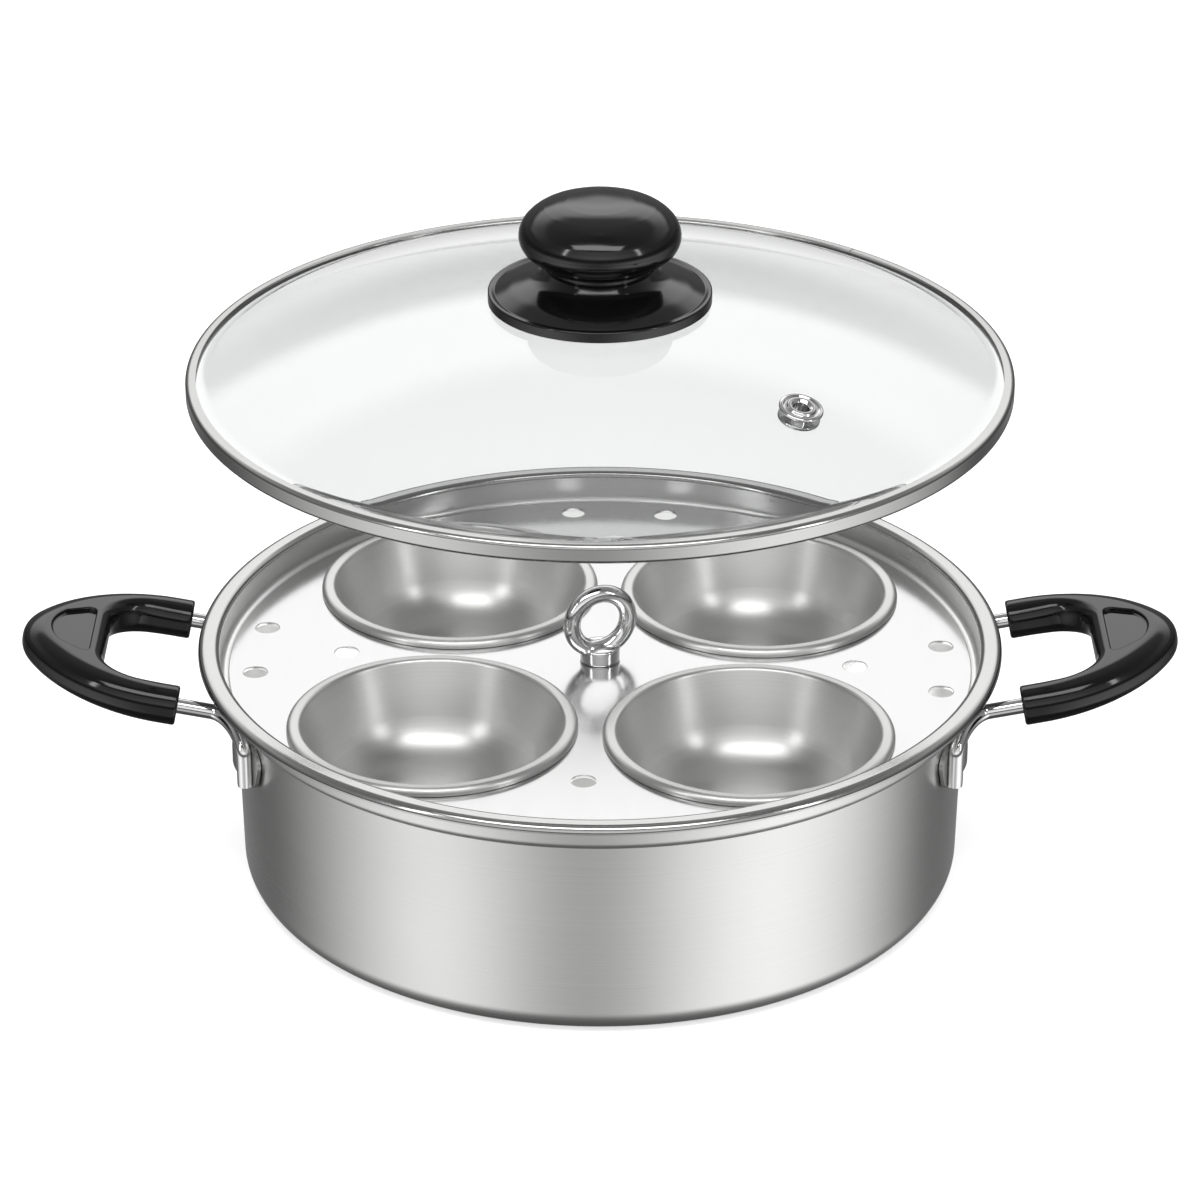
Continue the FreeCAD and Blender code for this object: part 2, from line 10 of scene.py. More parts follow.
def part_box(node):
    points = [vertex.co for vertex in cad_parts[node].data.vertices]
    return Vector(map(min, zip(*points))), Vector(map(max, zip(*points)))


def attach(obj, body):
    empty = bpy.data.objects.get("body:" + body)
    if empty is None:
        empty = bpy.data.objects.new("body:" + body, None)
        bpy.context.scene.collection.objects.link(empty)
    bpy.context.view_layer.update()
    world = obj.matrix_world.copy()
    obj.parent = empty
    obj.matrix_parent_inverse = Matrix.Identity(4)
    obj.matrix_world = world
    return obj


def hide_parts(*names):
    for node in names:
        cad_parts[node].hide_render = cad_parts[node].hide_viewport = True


bl_info = {
    "name": "Egg poacher pan",
    "version": (1, 0, 0),
    "blender": (4, 5, 0),
    "location": "View3D > Sidebar > Poacher",
    "description": "Dresses the egg poacher pan: steel pan, lift-out cups, glass lid and moulded handles",
    "category": "Add Mesh",
}

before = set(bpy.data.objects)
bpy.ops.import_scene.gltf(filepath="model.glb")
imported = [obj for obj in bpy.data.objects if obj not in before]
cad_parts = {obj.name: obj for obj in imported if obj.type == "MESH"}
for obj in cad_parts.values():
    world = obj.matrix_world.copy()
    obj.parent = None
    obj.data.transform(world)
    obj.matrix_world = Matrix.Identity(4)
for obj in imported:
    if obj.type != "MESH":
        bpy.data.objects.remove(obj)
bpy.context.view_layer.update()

MM = 0.001
HAIR = 1e-7  # points closer than this are one point
FLAT = 1e-4  # how far the normal of a flat face may lean
FULL_TURN = 2 * math.pi
ARC_STEP = math.radians(6)  # along a rounded corner
TURN_STEPS = 192  # round a turned piece
SUPPORT = 0.25 * MM  # from a rounding to the extra points that keep the flat beside it flat
SHARP = math.radians(38)  # edges that bend more than this stay sharp
WHITE = (1, 1, 1, 1)


def linear(code):
    """An sRGB hex colour as linear red, green and blue."""
    shares = [int(code[i:i + 2], 16) / 255 for i in (1, 3, 5)]
    return tuple(c / 12.92 if c <= 0.04045 else ((c + 0.055) / 1.055) ** 2.4 for c in shares)


def length(label, millimetres, note):
    """A setting for a length, given in millimetres and held in metres."""
    return FloatProperty(name=label, description=note, default=millimetres * MM, min=0.0, unit="LENGTH", precision=5)


def angle(label, degrees, note):
    """A setting for an angle, given in degrees and held in radians."""
    return FloatProperty(name=label, description=note, default=math.radians(degrees), subtype="ANGLE")


def proportion(label, value, note):
    """A setting for a share of another size."""
    return FloatProperty(name=label, description=note, default=value, min=0.1, max=2.0, subtype="FACTOR")


def colour(label, code, note):
    """A setting for a colour, given as an sRGB hex code."""
    return FloatVectorProperty(name=label, description=note, default=linear(code), subtype="COLOR", min=0.0, max=1.0)


class PanSizes(bpy.types.PropertyGroup):
    """The drawn pan, from its base to its rim."""
    sheet: length("Sheet", 0.8, "Thickness of the drawn sheet")
    wall_r: length("Wall radius", 120.4, "Outside of the wall under the ledge")
    wall_taper: length("Wall taper", 1.6, "How much narrower the wall is at the base")
    base_corner: length("Base corner", 8.0, "Outside radius between base and wall")
    ledge_depth: length("Ledge depth", 11.0, "From the rim down to the ledge that carries the plate")
    ledge_bend: length("Ledge bend", 0.4, "Outside radius where the wall turns out into the ledge")
    collar_r: length("Collar radius", 125.8, "Outside of the collar above the ledge")
    collar_corner: length("Collar corner", 2.8, "Outside radius between ledge and collar")
    collar_bend: length("Collar bend", 1.2, "Outside radius where the collar turns out into the rim")
    rim_round: length("Rim round", 1.6, "Inside radius of the rim's outer edge")
    rim_drop: length("Rim drop", 2.6, "How far the rim's edge turns down")


class HandleSizes(bpy.types.PropertyGroup):
    """Moulded grips and the bent rods that carry them."""
    rod_r: length("Rod radius", 2.5, "Radius of the bent rods")
    rod_depth: length("Rod depth", 15.0, "How far a rod goes into its grip")
    rod_straight: length("Rod straight", 11.0, "Straight run of a rod between its grip and its bend")
    bend_reach: length("Bend reach", 6.0, "Pull of the bend along the arm")
    bend_rise: length("Bend rise", 6.5, "Pull of the bend along the leg")
    leg_r: length("Leg distance", 123.74, "Distance of a rod's leg from the pan's axis")
    leg_top: length("Leg top", 60.6, "Height where a rod's bend ends")
    leg_length: length("Leg length", 10.8, "Length of the upright leg on the wall")
    leg_angle: angle("Leg angle", 22.0, "Angle between a leg and the handles' line, seen from above")
    arm_end_x: length("Arm end", 137.0, "Distance of the grips' open ends from the pan's axis")
    arm_end_z: length("Arm height", 71.0, "Height of the grips' open ends")
    tilt: angle("Tilt", 11.0, "How much the grips rise outward")
    thick: length("Grip thickness", 12.6, "Thickness of a grip")
    edge_round: length("Grip rounding", 5.7, "Radius along the grip's edges")
    end_round: length("End rounding", 0.9, "Radius at the open ends of the arms")
    arm_width: length("Arm width", 12.4, "Width of an arm")
    arm_middle: length("Arm spacing", 31.0, "From the middle of the handle to the middle of an arm")
    arm_straight: length("Arm straight", 6.0, "Straight run of an arm before the bow")
    bow_reach: length("Bow reach", 54.0, "From the arms' ends to the nose of the bow")
    nose_r: length("Nose radius", 22.0, "Radius at the nose of the bow")
    finger_reach: length("Finger reach", 26.1, "Depth of the finger opening")
    finger_corner: length("Finger corner", 13.0, "Corner radius of the finger opening")
    pocket_depth: length("Panel depth", 1.2, "Depth of the plain sunk panel")
    pocket_start: length("Panel start", 31.5, "Where the panel begins, from the arms' ends")
    bow_soft: proportion("Bow softness", 1.2, "Width of the outer rounding at the nose, as a share of the arms'")
    finger_soft: proportion("Finger softness", 0.754, "Width of the finger edge's rounding, as a share of the arms'")
    pocket_reach: length("Panel reach", 45.0, "Where the panel's round side ends")
    pocket_half: length("Panel half width", 16.5, "Half of the panel's straight side")
    pocket_corner: length("Panel corner", 2.0, "Corner radius of the panel")
    socket_r: length("Socket radius", 3.5, "Radius of the recess where a rod goes in")
    socket_depth: length("Socket depth", 1.6, "Depth of that recess")


class InsertSizes(bpy.types.PropertyGroup):
    """Lift-out plate, cups and lifting eye."""
    turn: angle("Turn", -3.5, "How the insert is turned in the pan")
    edge_round: length("Edge rounding", 0.35, "Radius along the plate's rim")
    hole_round: length("Hole rounding", 0.18, "Radius along the edges of the steam holes")
    steam_r: length("Steam hole", 4.0, "Radius of a steam hole")
    steam_inner: length("Inner ring", 84.0, "Distance of the single holes from the middle")
    steam_outer: length("Outer ring", 113.5, "Distance of the paired holes from the middle")
    steam_half: length("Pair half", 16.2, "Half the distance between two paired holes")
    cup_hole_r: length("Cup hole", 43.05, "Radius of the holes that the cups hang in")
    cup_sheet: length("Cup sheet", 0.6, "Thickness of a cup")
    cup_depth: length("Cup depth", 30.0, "Depth of a cup")
    cup_rim_height: length("Cup rim height", 2.6, "How far a cup's rim stands above the plate")
    cup_rim_width: length("Cup rim width", 4.0, "Width of a cup's rim")
    cup_rim_round: length("Cup rim round", 1.4, "Inside radius of the rim's outer edge")
    cup_bend: length("Cup bend", 0.8, "Radius between a cup's wall and its rim")
    cup_lean: length("Cup lean", 10.0, "How much narrower a cup is at its bottom")
    cup_corner: length("Cup corner", 18.0, "Radius between a cup's wall and its bottom")
    cup_seat: length("Cup seat", 0.2, "Gap between the rim's edge and the plate")
    eye_angle: angle("Eye angle", 22.0, "How the eye's ring is turned")
    eye_ring_r: length("Eye ring", 9.9, "Middle radius of the eye's ring")
    eye_wire_r: length("Eye wire", 2.9, "Radius of the ring's section")
    eye_height: length("Eye height", 14.1, "Height of the ring's middle above the plate")
    eye_collar_r: length("Eye collar", 6.6, "Radius of the eye's collar")
    eye_collar_height: length("Eye collar height", 5.3, "Height of the eye's collar")
    eye_edge: length("Eye collar edge", 0.6, "Radius along the collar's edges")
    eye_shank_r: length("Eye shank", 3.0, "Radius of the threaded shank")
    eye_grain: length("Eye blend", 0.32, "Fineness of the cast blend between ring and collar")


class LidSizes(bpy.types.PropertyGroup):
    """Domed glass, its band, the knob and the steam vent."""
    band_sheet: length("Band sheet", 0.7, "Thickness of the band")
    band_lip: length("Band lip", 3.4, "Width of the band's folded lips")
    band_round: length("Band rounding", 1.5, "Outside radius of the band's folds")
    band_seam: length("Band seam", 0.4, "Gap where the band's ends meet")
    seam_angle: angle("Seam angle", 49.0, "Where the band's seam is")
    glass_thick: length("Glass thickness", 4.6, "Thickness of the glass")
    glass_gap: length("Glass gap", 0.1, "Room between glass and band")
    glass_edge: length("Glass edge", 1.0, "How far the glass ends inside the band's outside")
    glass_flange: length("Glass flange", 4.6, "Flat edge of the glass")
    glass_rise: length("Glass rise", 26.0, "Height of the dome above its flat edge")
    glass_bend: length("Glass bend", 8.0, "Radius between dome and flat edge")
    glass_round: length("Glass rounding", 1.0, "Radius of the ground edge inside the band")
    screw_hole: length("Screw hole", 2.9, "Radius of the hole under the knob")
    skirt_r: length("Skirt radius", 35.7, "Radius of the knob's skirt")
    skirt_edge: length("Skirt edge", 3.4, "Height of the skirt's edge")
    skirt_height: length("Skirt height", 11.2, "Height of the skirt to the ring line on the neck")
    skirt_ridge: length("Skirt ridge", 1.1, "Width of the ridge round the skirt")
    skirt_gap: length("Skirt gap", 0.1, "Room between skirt and glass")
    neck_r: length("Neck radius", 17.6, "Radius of the neck at the ring line")
    neck_groove: length("Neck groove", 0.7, "Depth of the ring line")
    head_r: length("Head radius", 25.8, "Radius of the knob's head")
    head_height: length("Head height", 22.0, "Height of the head above the ring line")
    joint_gap: length("Joint gap", 0.05, "Room between head and skirt")
    insert_r: length("Nut insert", 4.6, "Radius of the bore for the threaded insert")
    insert_length: length("Nut insert length", 12.0, "Depth of that bore")
    insert_collar_r: length("Insert collar", 5.8, "Radius of the insert's collar")
    insert_collar: length("Insert collar height", 1.4, "Height of the insert's collar")
    vent_x: length("Vent to the right", 61.6, "Place of the vent, to the right of the knob")
    vent_y: length("Vent to the front", 63.0, "Place of the vent, in front of the knob")
    vent_tube_r: length("Vent tube", 3.5, "Radius of the eyelet's tube")
    vent_hole_r: length("Vent hole", 2.5, "Radius of the hole through the eyelet")
    vent_flange_r: length("Vent flange", 7.0, "Radius of the eyelet's flange")
    vent_flange_height: length("Vent flange height", 1.7, "Height of the flange above the glass")
    vent_gap: length("Vent gap", 0.15, "Room between eyelet and glass")
    vent_ring_r: length("Vent ring", 6.6, "Radius of the ring under the glass")
    vent_ring_height: length("Vent ring height", 1.1, "Height of the ring under the glass")
    vent_tail: length("Vent tail", 1.0, "How far the tube is riveted over the ring")


class Finishes(bpy.types.PropertyGroup):
    """Colours of the materials."""
    pan_steel: colour("Pan steel", "#E0E0DF", "Brushed stainless steel of the pan")
    cup_steel: colour("Cup steel", "#CFCFCE", "Spun stainless steel of the cups")
    plate_steel: colour("Plate steel", "#C6C6C6", "Mirror-polished stainless steel of the plate")
    bright_steel: colour("Bright steel", "#DADADA", "Plated steel of rods, eye and vent")
    # The band's own colour; its darker tint also goes on the pan's rim, where it is painted shade against the wall's
    # same steel
    band_steel: colour("Band steel", "#B4B4B3", "Rolled stainless strip of the lid's band")
    resin: colour("Resin", "#0B0B0C", "Moulded phenolic resin of grips and knob")
    glass: colour("Glass", "#D2D3D3", "Toughened glass of the lid")
    brass: colour("Brass", "#C9A45C", "Turned brass of the threaded insert")
    silicone: colour("Silicone", "#D9D8D3", "Moulded silicone of the knob's gasket")


class StageSizes(bpy.types.PropertyGroup):
    """Camera and floor."""
    distance: length("Camera distance", 1539.7, "From the camera to the point it looks at")
    view_width: length("View width", 393.6, "Width of the picture at that point")
    aim_height: length("Aim height", 93.85, "Height of the point that the camera looks at")
    elevation: angle("Elevation", 26.48, "How far the camera looks down")
    floor_width: length("Floor width", 20000.0, "Width of the floor")
    floor: colour("Floor", "#F4F4F4", "Pale studio floor")


class PoacherSettings(bpy.types.PropertyGroup):
    """All sizes and colours of the egg poacher pan."""
    pan: PointerProperty(type=PanSizes, name="Pan", description="Sizes of the pan")
    handles: PointerProperty(type=HandleSizes, name="Handles", description="Sizes of the handles")
    insert: PointerProperty(type=InsertSizes, name="Insert", description="Sizes of plate, cups and eye")
    lid: PointerProperty(type=LidSizes, name="Lid", description="Sizes of the lid")
    finishes: PointerProperty(type=Finishes, name="Finishes", description="Colours of the materials")
    stage: PointerProperty(type=StageSizes, name="Stage", description="Camera and floor")


def rounded(path):
    """Points along an open path of (across, up, corner radius), with its corners rounded."""
    points = [Vector(path[0][:2])]
    for before, corner, after in zip(path, path[1:], path[2:]):
        middle = Vector(corner[:2])
        towards = (Vector(before[:2]) - middle).normalized()
        away = (Vector(after[:2]) - middle).normalized()
        if corner[2] <= 0:
            points.append(middle)
            continue
        half = towards.angle(away) / 2
        centre = middle + (towards + away).normalized() * (corner[2] / math.sin(half))
        spoke = middle + towards * (corner[2] / math.tan(half)) - centre
        sweep = math.pi - 2 * half
        if towards.cross(away) > 0:
            sweep = -sweep
        steps = max(3, math.ceil(abs(sweep) / ARC_STEP))
        points += [centre + Matrix.Rotation(sweep * step / steps, 2) @ spoke for step in range(steps + 1)]
    return points + [Vector(path[-1][:2])]


def offset_path(path, thickness):
    """The same path moved to its left by the thickness, with its corner radii to match."""
    normals = []
    for start, end in zip(path, path[1:]):
        run = Vector((end[0] - start[0], end[1] - start[1])).normalized()
        normals.append(Vector((-run.y, run.x)))
    moved = [(*(Vector(path[0][:2]) + normals[0] * thickness), 0)]
    for corner, before, after in zip(path[1:], normals, normals[1:]):
        place = Vector(corner[:2]) + (before + after) * (thickness / (1 + before.dot(after)))
        left_turn = before.cross(after) > 0
        moved.append((*place, max(corner[2] - thickness if left_turn else corner[2] + thickness, 0)))
    moved.append((*(Vector(path[-1][:2]) + normals[-1] * thickness), 0))
    return moved


def sheet_section(path, thickness):
    """The closed section of a sheet that has the path on one face and lies to its left."""
    return rounded(path) + rounded(list(reversed(offset_path(path, thickness))))


def supported(section):
    """A closed section with a point more where a flat meets a rounding, so that flats shade flat."""
    runs = [end - start for start, end in zip(section, section[1:] + section[:1])]
    points = []
    for place, run in enumerate(runs):
        points.append(section[place])
        short = run.length / 3 if run.length > 4 * SUPPORT else 0
        if runs[place - 1].length < short:
            points.append(section[place] + run.normalized() * SUPPORT)
        if runs[(place + 1) % len(runs)].length < short:
            points.append(section[place] + run - run.normalized() * SUPPORT)
    return points


def finished(bm, name):
    """A mesh with outward, smooth faces and its true edges kept sharp."""
    bmesh.ops.remove_doubles(bm, verts=bm.verts, dist=HAIR)
    bmesh.ops.recalc_face_normals(bm, faces=bm.faces)
    for face in bm.faces:
        face.smooth = True
    mesh = bpy.data.meshes.new(name)
    bm.to_mesh(mesh)
    bm.free()
    mesh.set_sharp_from_angle(angle=SHARP)
    return mesh


def faces_between(bm, rows, closed=True):
    """Faces between each row of points and the next; closed rows join up with their own start."""
    for lower, upper in zip(rows, rows[1:]):
        for column in range(len(lower) if closed else len(lower) - 1):
            after = (column + 1) % len(lower)
            corners = list(dict.fromkeys([lower[column], lower[after], upper[after], upper[column]]))
            if len(corners) > 2:
                bm.faces.new(corners)


def turned_mesh(name, section, sweep=FULL_TURN, start=0.0, steps=TURN_STEPS):
    """A closed section of (radius, height) turned about Z, with end faces where it isn't a full turn."""
    section = supported(section)
    full = sweep > FULL_TURN - HAIR
    columns = steps if full else steps + 1
    turns = [start + sweep * column / steps for column in range(columns)]
    bm = bmesh.new()
    rings = []
    for across, up in section:
        if across < HAIR:
            rings.append([bm.verts.new((0, 0, up))] * columns)
        else:
            rings.append([bm.verts.new((across * math.cos(t), across * math.sin(t), up)) for t in turns])
    faces_between(bm, rings + rings[:1], closed=full)
    if not full:
        for column in (0, columns - 1):
            bm.faces.new([ring[column] for ring in rings])
    return finished(bm, name)


def tube_mesh(name, points, radius, sides=40, end_round=0.0):
    """A round bar along points, with slightly rounded ends."""
    bm = bmesh.new()
    rings = []
    heading = (points[1] - points[0]).normalized()
    side = heading.orthogonal().normalized()
    stations = []
    for place, point in enumerate(points):
        before, after = points[max(place - 1, 0)], points[min(place + 1, len(points) - 1)]
        ahead = (after - before).normalized()
        side = (heading.rotation_difference(ahead) @ side).normalized()
        heading = ahead
        stations.append((point, ahead, side))
    rounds = [math.radians(step) for step in (0, 30, 60)] if end_round else []
    first, last = stations[0], stations[-1]
    loops = [(first[0] + first[1] * end_round * (1 - math.cos(a)), first, radius - end_round * (1 - math.sin(a)))
             for a in rounds]
    loops += [(point, (point, ahead, across), radius) for point, ahead, across in
              (stations[1:-1] if end_round else stations)]
    loops += [(last[0] - last[1] * end_round * (1 - math.cos(a)), last, radius - end_round * (1 - math.sin(a)))
              for a in reversed(rounds)]
    for centre, (_, ahead, across), reach in loops:
        up = ahead.cross(across)
        rings.append([bm.verts.new(centre + (across * math.cos(t) + up * math.sin(t)) * reach)
                      for t in (FULL_TURN * turn / sides for turn in range(sides))])
    faces_between(bm, rings)
    bm.faces.new(rings[0])
    bm.faces.new(rings[-1])
    return finished(bm, name)


def evaluated(piece, name):
    """The mesh of a piece with its modifiers, which replaces the piece."""
    bpy.context.view_layer.update()
    mesh = bpy.data.meshes.new_from_object(piece.evaluated_get(bpy.context.evaluated_depsgraph_get()))
    mesh.name = name
    bpy.data.objects.remove(piece)
    return mesh


def combined(piece, tool, operation, name):
    """The mesh of a piece joined with a tool or cut by it, which replaces both."""
    change = piece.modifiers.new(name, "BOOLEAN")
    change.operation, change.solver, change.object = operation, "EXACT", tool
    mesh = evaluated(piece, name)
    bpy.data.objects.remove(tool)
    return mesh


def loose(name, mesh):
    """An object for a mesh that is still being worked on."""
    piece = bpy.data.objects.new(name, mesh)
    bpy.context.scene.collection.objects.link(piece)
    return piece


def show(name, mesh, material, slot, body, *nodes, place=None):
    """Puts a piece with its finish in place of CAD nodes, on their body."""
    mesh.materials.clear()
    mesh.materials.append(material)
    piece = loose(name, mesh)
    if place is not None:
        piece.matrix_world = place
    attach(piece, body)
    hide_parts(*nodes)
    return piece


def put(tree, kind, inputs=None, **settings):
    """Adds a node: settings go to the node, inputs are values or other nodes' outputs."""
    made = tree.nodes.new(kind)
    for key, value in settings.items():
        setattr(made, key, value)
    for key, value in (inputs or {}).items():
        if isinstance(value, bpy.types.NodeSocket):
            tree.links.new(value, made.inputs[key])
        else:
            made.inputs[key].default_value = value
    return made


def new_finish(name):
    """An empty material and its node tree."""
    material = bpy.data.materials.new(name)
    material.use_nodes = True
    material.node_tree.nodes.clear()
    return material, material.node_tree


def turned_metal(name, shade, roughness, line, wander, gloss_spread, relief, stretch):
    """Metal turned or brushed on a lathe: lines run round the piece's own axis."""
    material, tree = new_finish(name)
    place = put(tree, "ShaderNodeTexCoord").outputs["Object"]
    across = put(tree, "ShaderNodeVectorMath", {0: place, 1: (1, 1, 0)}, operation="MULTIPLY").outputs["Vector"]
    radius = put(tree, "ShaderNodeVectorMath", {0: across}, operation="LENGTH").outputs["Value"]
    height = put(tree, "ShaderNodeSeparateXYZ", {0: place}).outputs["Z"]
    drift = put(tree, "ShaderNodeTexNoise", {"Vector": place, "Scale": 1 / wander, "Detail": 1.0})
    drift = put(tree, "ShaderNodeMath", {0: drift.outputs["Fac"], 1: line}, operation="MULTIPLY").outputs["Value"]
    low = put(tree, "ShaderNodeMath", {0: height, 1: drift}, operation="ADD").outputs["Value"]
    rings = put(tree, "ShaderNodeCombineXYZ", {"X": radius, "Y": 0.0, "Z": low}).outputs["Vector"]
    lines = put(tree, "ShaderNodeTexNoise", {"Vector": rings, "Scale": 1 / line, "Detail": 3.0, "Roughness": 0.65})
    clouds = put(tree, "ShaderNodeTexNoise", {"Vector": place, "Scale": 1 / (2 * wander), "Detail": 2.0})
    grain = put(tree, "ShaderNodeMath", {0: lines.outputs["Fac"], 1: clouds.outputs["Fac"]}, operation="ADD")
    gloss = put(tree, "ShaderNodeMapRange", {"Value": grain.outputs["Value"], "From Min": 0.6, "From Max": 1.4,
                                             "To Min": roughness - gloss_spread, "To Max": roughness + gloss_spread})
    tone = put(tree, "ShaderNodeMix", {"Factor": lines.outputs["Fac"], "A": (*[c * 0.9 for c in shade], 1),
                                       "B": (*[min(c * 1.1, 1) for c in shade], 1)}, data_type="RGBA")
    bump = put(tree, "ShaderNodeBump", {"Height": lines.outputs["Fac"], "Strength": 1.0, "Distance": relief})
    tangent = put(tree, "ShaderNodeTangent", direction_type="RADIAL", axis="Z")
    shader = put(tree, "ShaderNodeBsdfPrincipled", {
        "Base Color": tone.outputs["Result"], "Metallic": 1.0, "Roughness": gloss.outputs["Result"],
        "Anisotropic": stretch, "Anisotropic Rotation": 0.25, "Normal": bump.outputs["Normal"],
        "Tangent": tangent.outputs["Tangent"]})
    put(tree, "ShaderNodeOutputMaterial", {"Surface": shader.outputs["BSDF"]})
    return material


def polished_steel(name, shade, roughness, wave, wave_relief, wipe, gloss_spread):
    """Buffed or plated steel: clean reflections, a slight wave, faint wipe marks."""
    material, tree = new_finish(name)
    place = put(tree, "ShaderNodeTexCoord").outputs["Object"]
    waves = put(tree, "ShaderNodeTexNoise", {"Vector": place, "Scale": 1 / wave, "Detail": 1.0})
    thin = put(tree, "ShaderNodeVectorMath", {0: place, 1: (1.0, 0.12, 0.3)}, operation="MULTIPLY")
    wipes = put(tree, "ShaderNodeTexNoise", {"Vector": thin.outputs["Vector"], "Scale": 1 / wipe, "Detail": 4.0,
                                             "Roughness": 0.7})
    gloss = put(tree, "ShaderNodeMapRange", {"Value": wipes.outputs["Fac"], "From Min": 0.3, "From Max": 0.75,
                                             "To Min": roughness, "To Max": roughness + gloss_spread})
    tone = put(tree, "ShaderNodeMix", {"Factor": wipes.outputs["Fac"], "A": (*[c * 0.96 for c in shade], 1),
                                       "B": (*[min(c * 1.04, 1) for c in shade], 1)}, data_type="RGBA")
    bump = put(tree, "ShaderNodeBump", {"Height": waves.outputs["Fac"], "Strength": 1.0, "Distance": wave_relief})
    shader = put(tree, "ShaderNodeBsdfPrincipled", {
        "Base Color": tone.outputs["Result"], "Metallic": 1.0, "Roughness": gloss.outputs["Result"],
        "Normal": bump.outputs["Normal"]})
    put(tree, "ShaderNodeOutputMaterial", {"Surface": shader.outputs["BSDF"]})
    return material


def moulded(name, shade, roughness, ior, flow, relief, gloss_spread):
    """Moulded resin or rubber: even colour with a slight skin texture and flow marks."""
    material, tree = new_finish(name)
    place = put(tree, "ShaderNodeTexCoord").outputs["Object"]
    skin = put(tree, "ShaderNodeTexNoise", {"Vector": place, "Scale": 1 / (0.25 * flow), "Detail": 2.0})
    marks = put(tree, "ShaderNodeTexNoise", {"Vector": place, "Scale": 1 / flow, "Detail": 3.0, "Distortion": 0.6})
    gloss = put(tree, "ShaderNodeMapRange", {"Value": marks.outputs["Fac"], "From Min": 0.3, "From Max": 0.7,
                                             "To Min": roughness, "To Max": roughness + gloss_spread})
    tone = put(tree, "ShaderNodeMix", {"Factor": marks.outputs["Fac"], "A": (*[c * 0.8 for c in shade], 1),
                                       "B": (*[min(c * 1.25, 1) for c in shade], 1)}, data_type="RGBA")
    bump = put(tree, "ShaderNodeBump", {"Height": skin.outputs["Fac"], "Strength": 1.0, "Distance": relief})
    shader = put(tree, "ShaderNodeBsdfPrincipled", {
        "Base Color": tone.outputs["Result"], "Roughness": gloss.outputs["Result"], "IOR": ior,
        "Normal": bump.outputs["Normal"]})
    put(tree, "ShaderNodeOutputMaterial", {"Surface": shader.outputs["BSDF"]})
    return material


def pressed_glass(name, shade, ior, specular, wave, relief):
    """Pressed glass: clear, with a slow wave from the press."""
    material, tree = new_finish(name)
    place = put(tree, "ShaderNodeTexCoord").outputs["Object"]
    waves = put(tree, "ShaderNodeTexNoise", {"Vector": place, "Scale": 1 / wave, "Detail": 1.0})
    bump = put(tree, "ShaderNodeBump", {"Height": waves.outputs["Fac"], "Strength": 1.0, "Distance": relief})
    shader = put(tree, "ShaderNodeBsdfPrincipled", {
        "Base Color": (*shade, 1), "Roughness": 0.0, "IOR": ior, "Specular IOR Level": specular,
        "Transmission Weight": 1.0, "Normal": bump.outputs["Normal"]})
    put(tree, "ShaderNodeOutputMaterial", {"Surface": shader.outputs["BSDF"]})
    return material


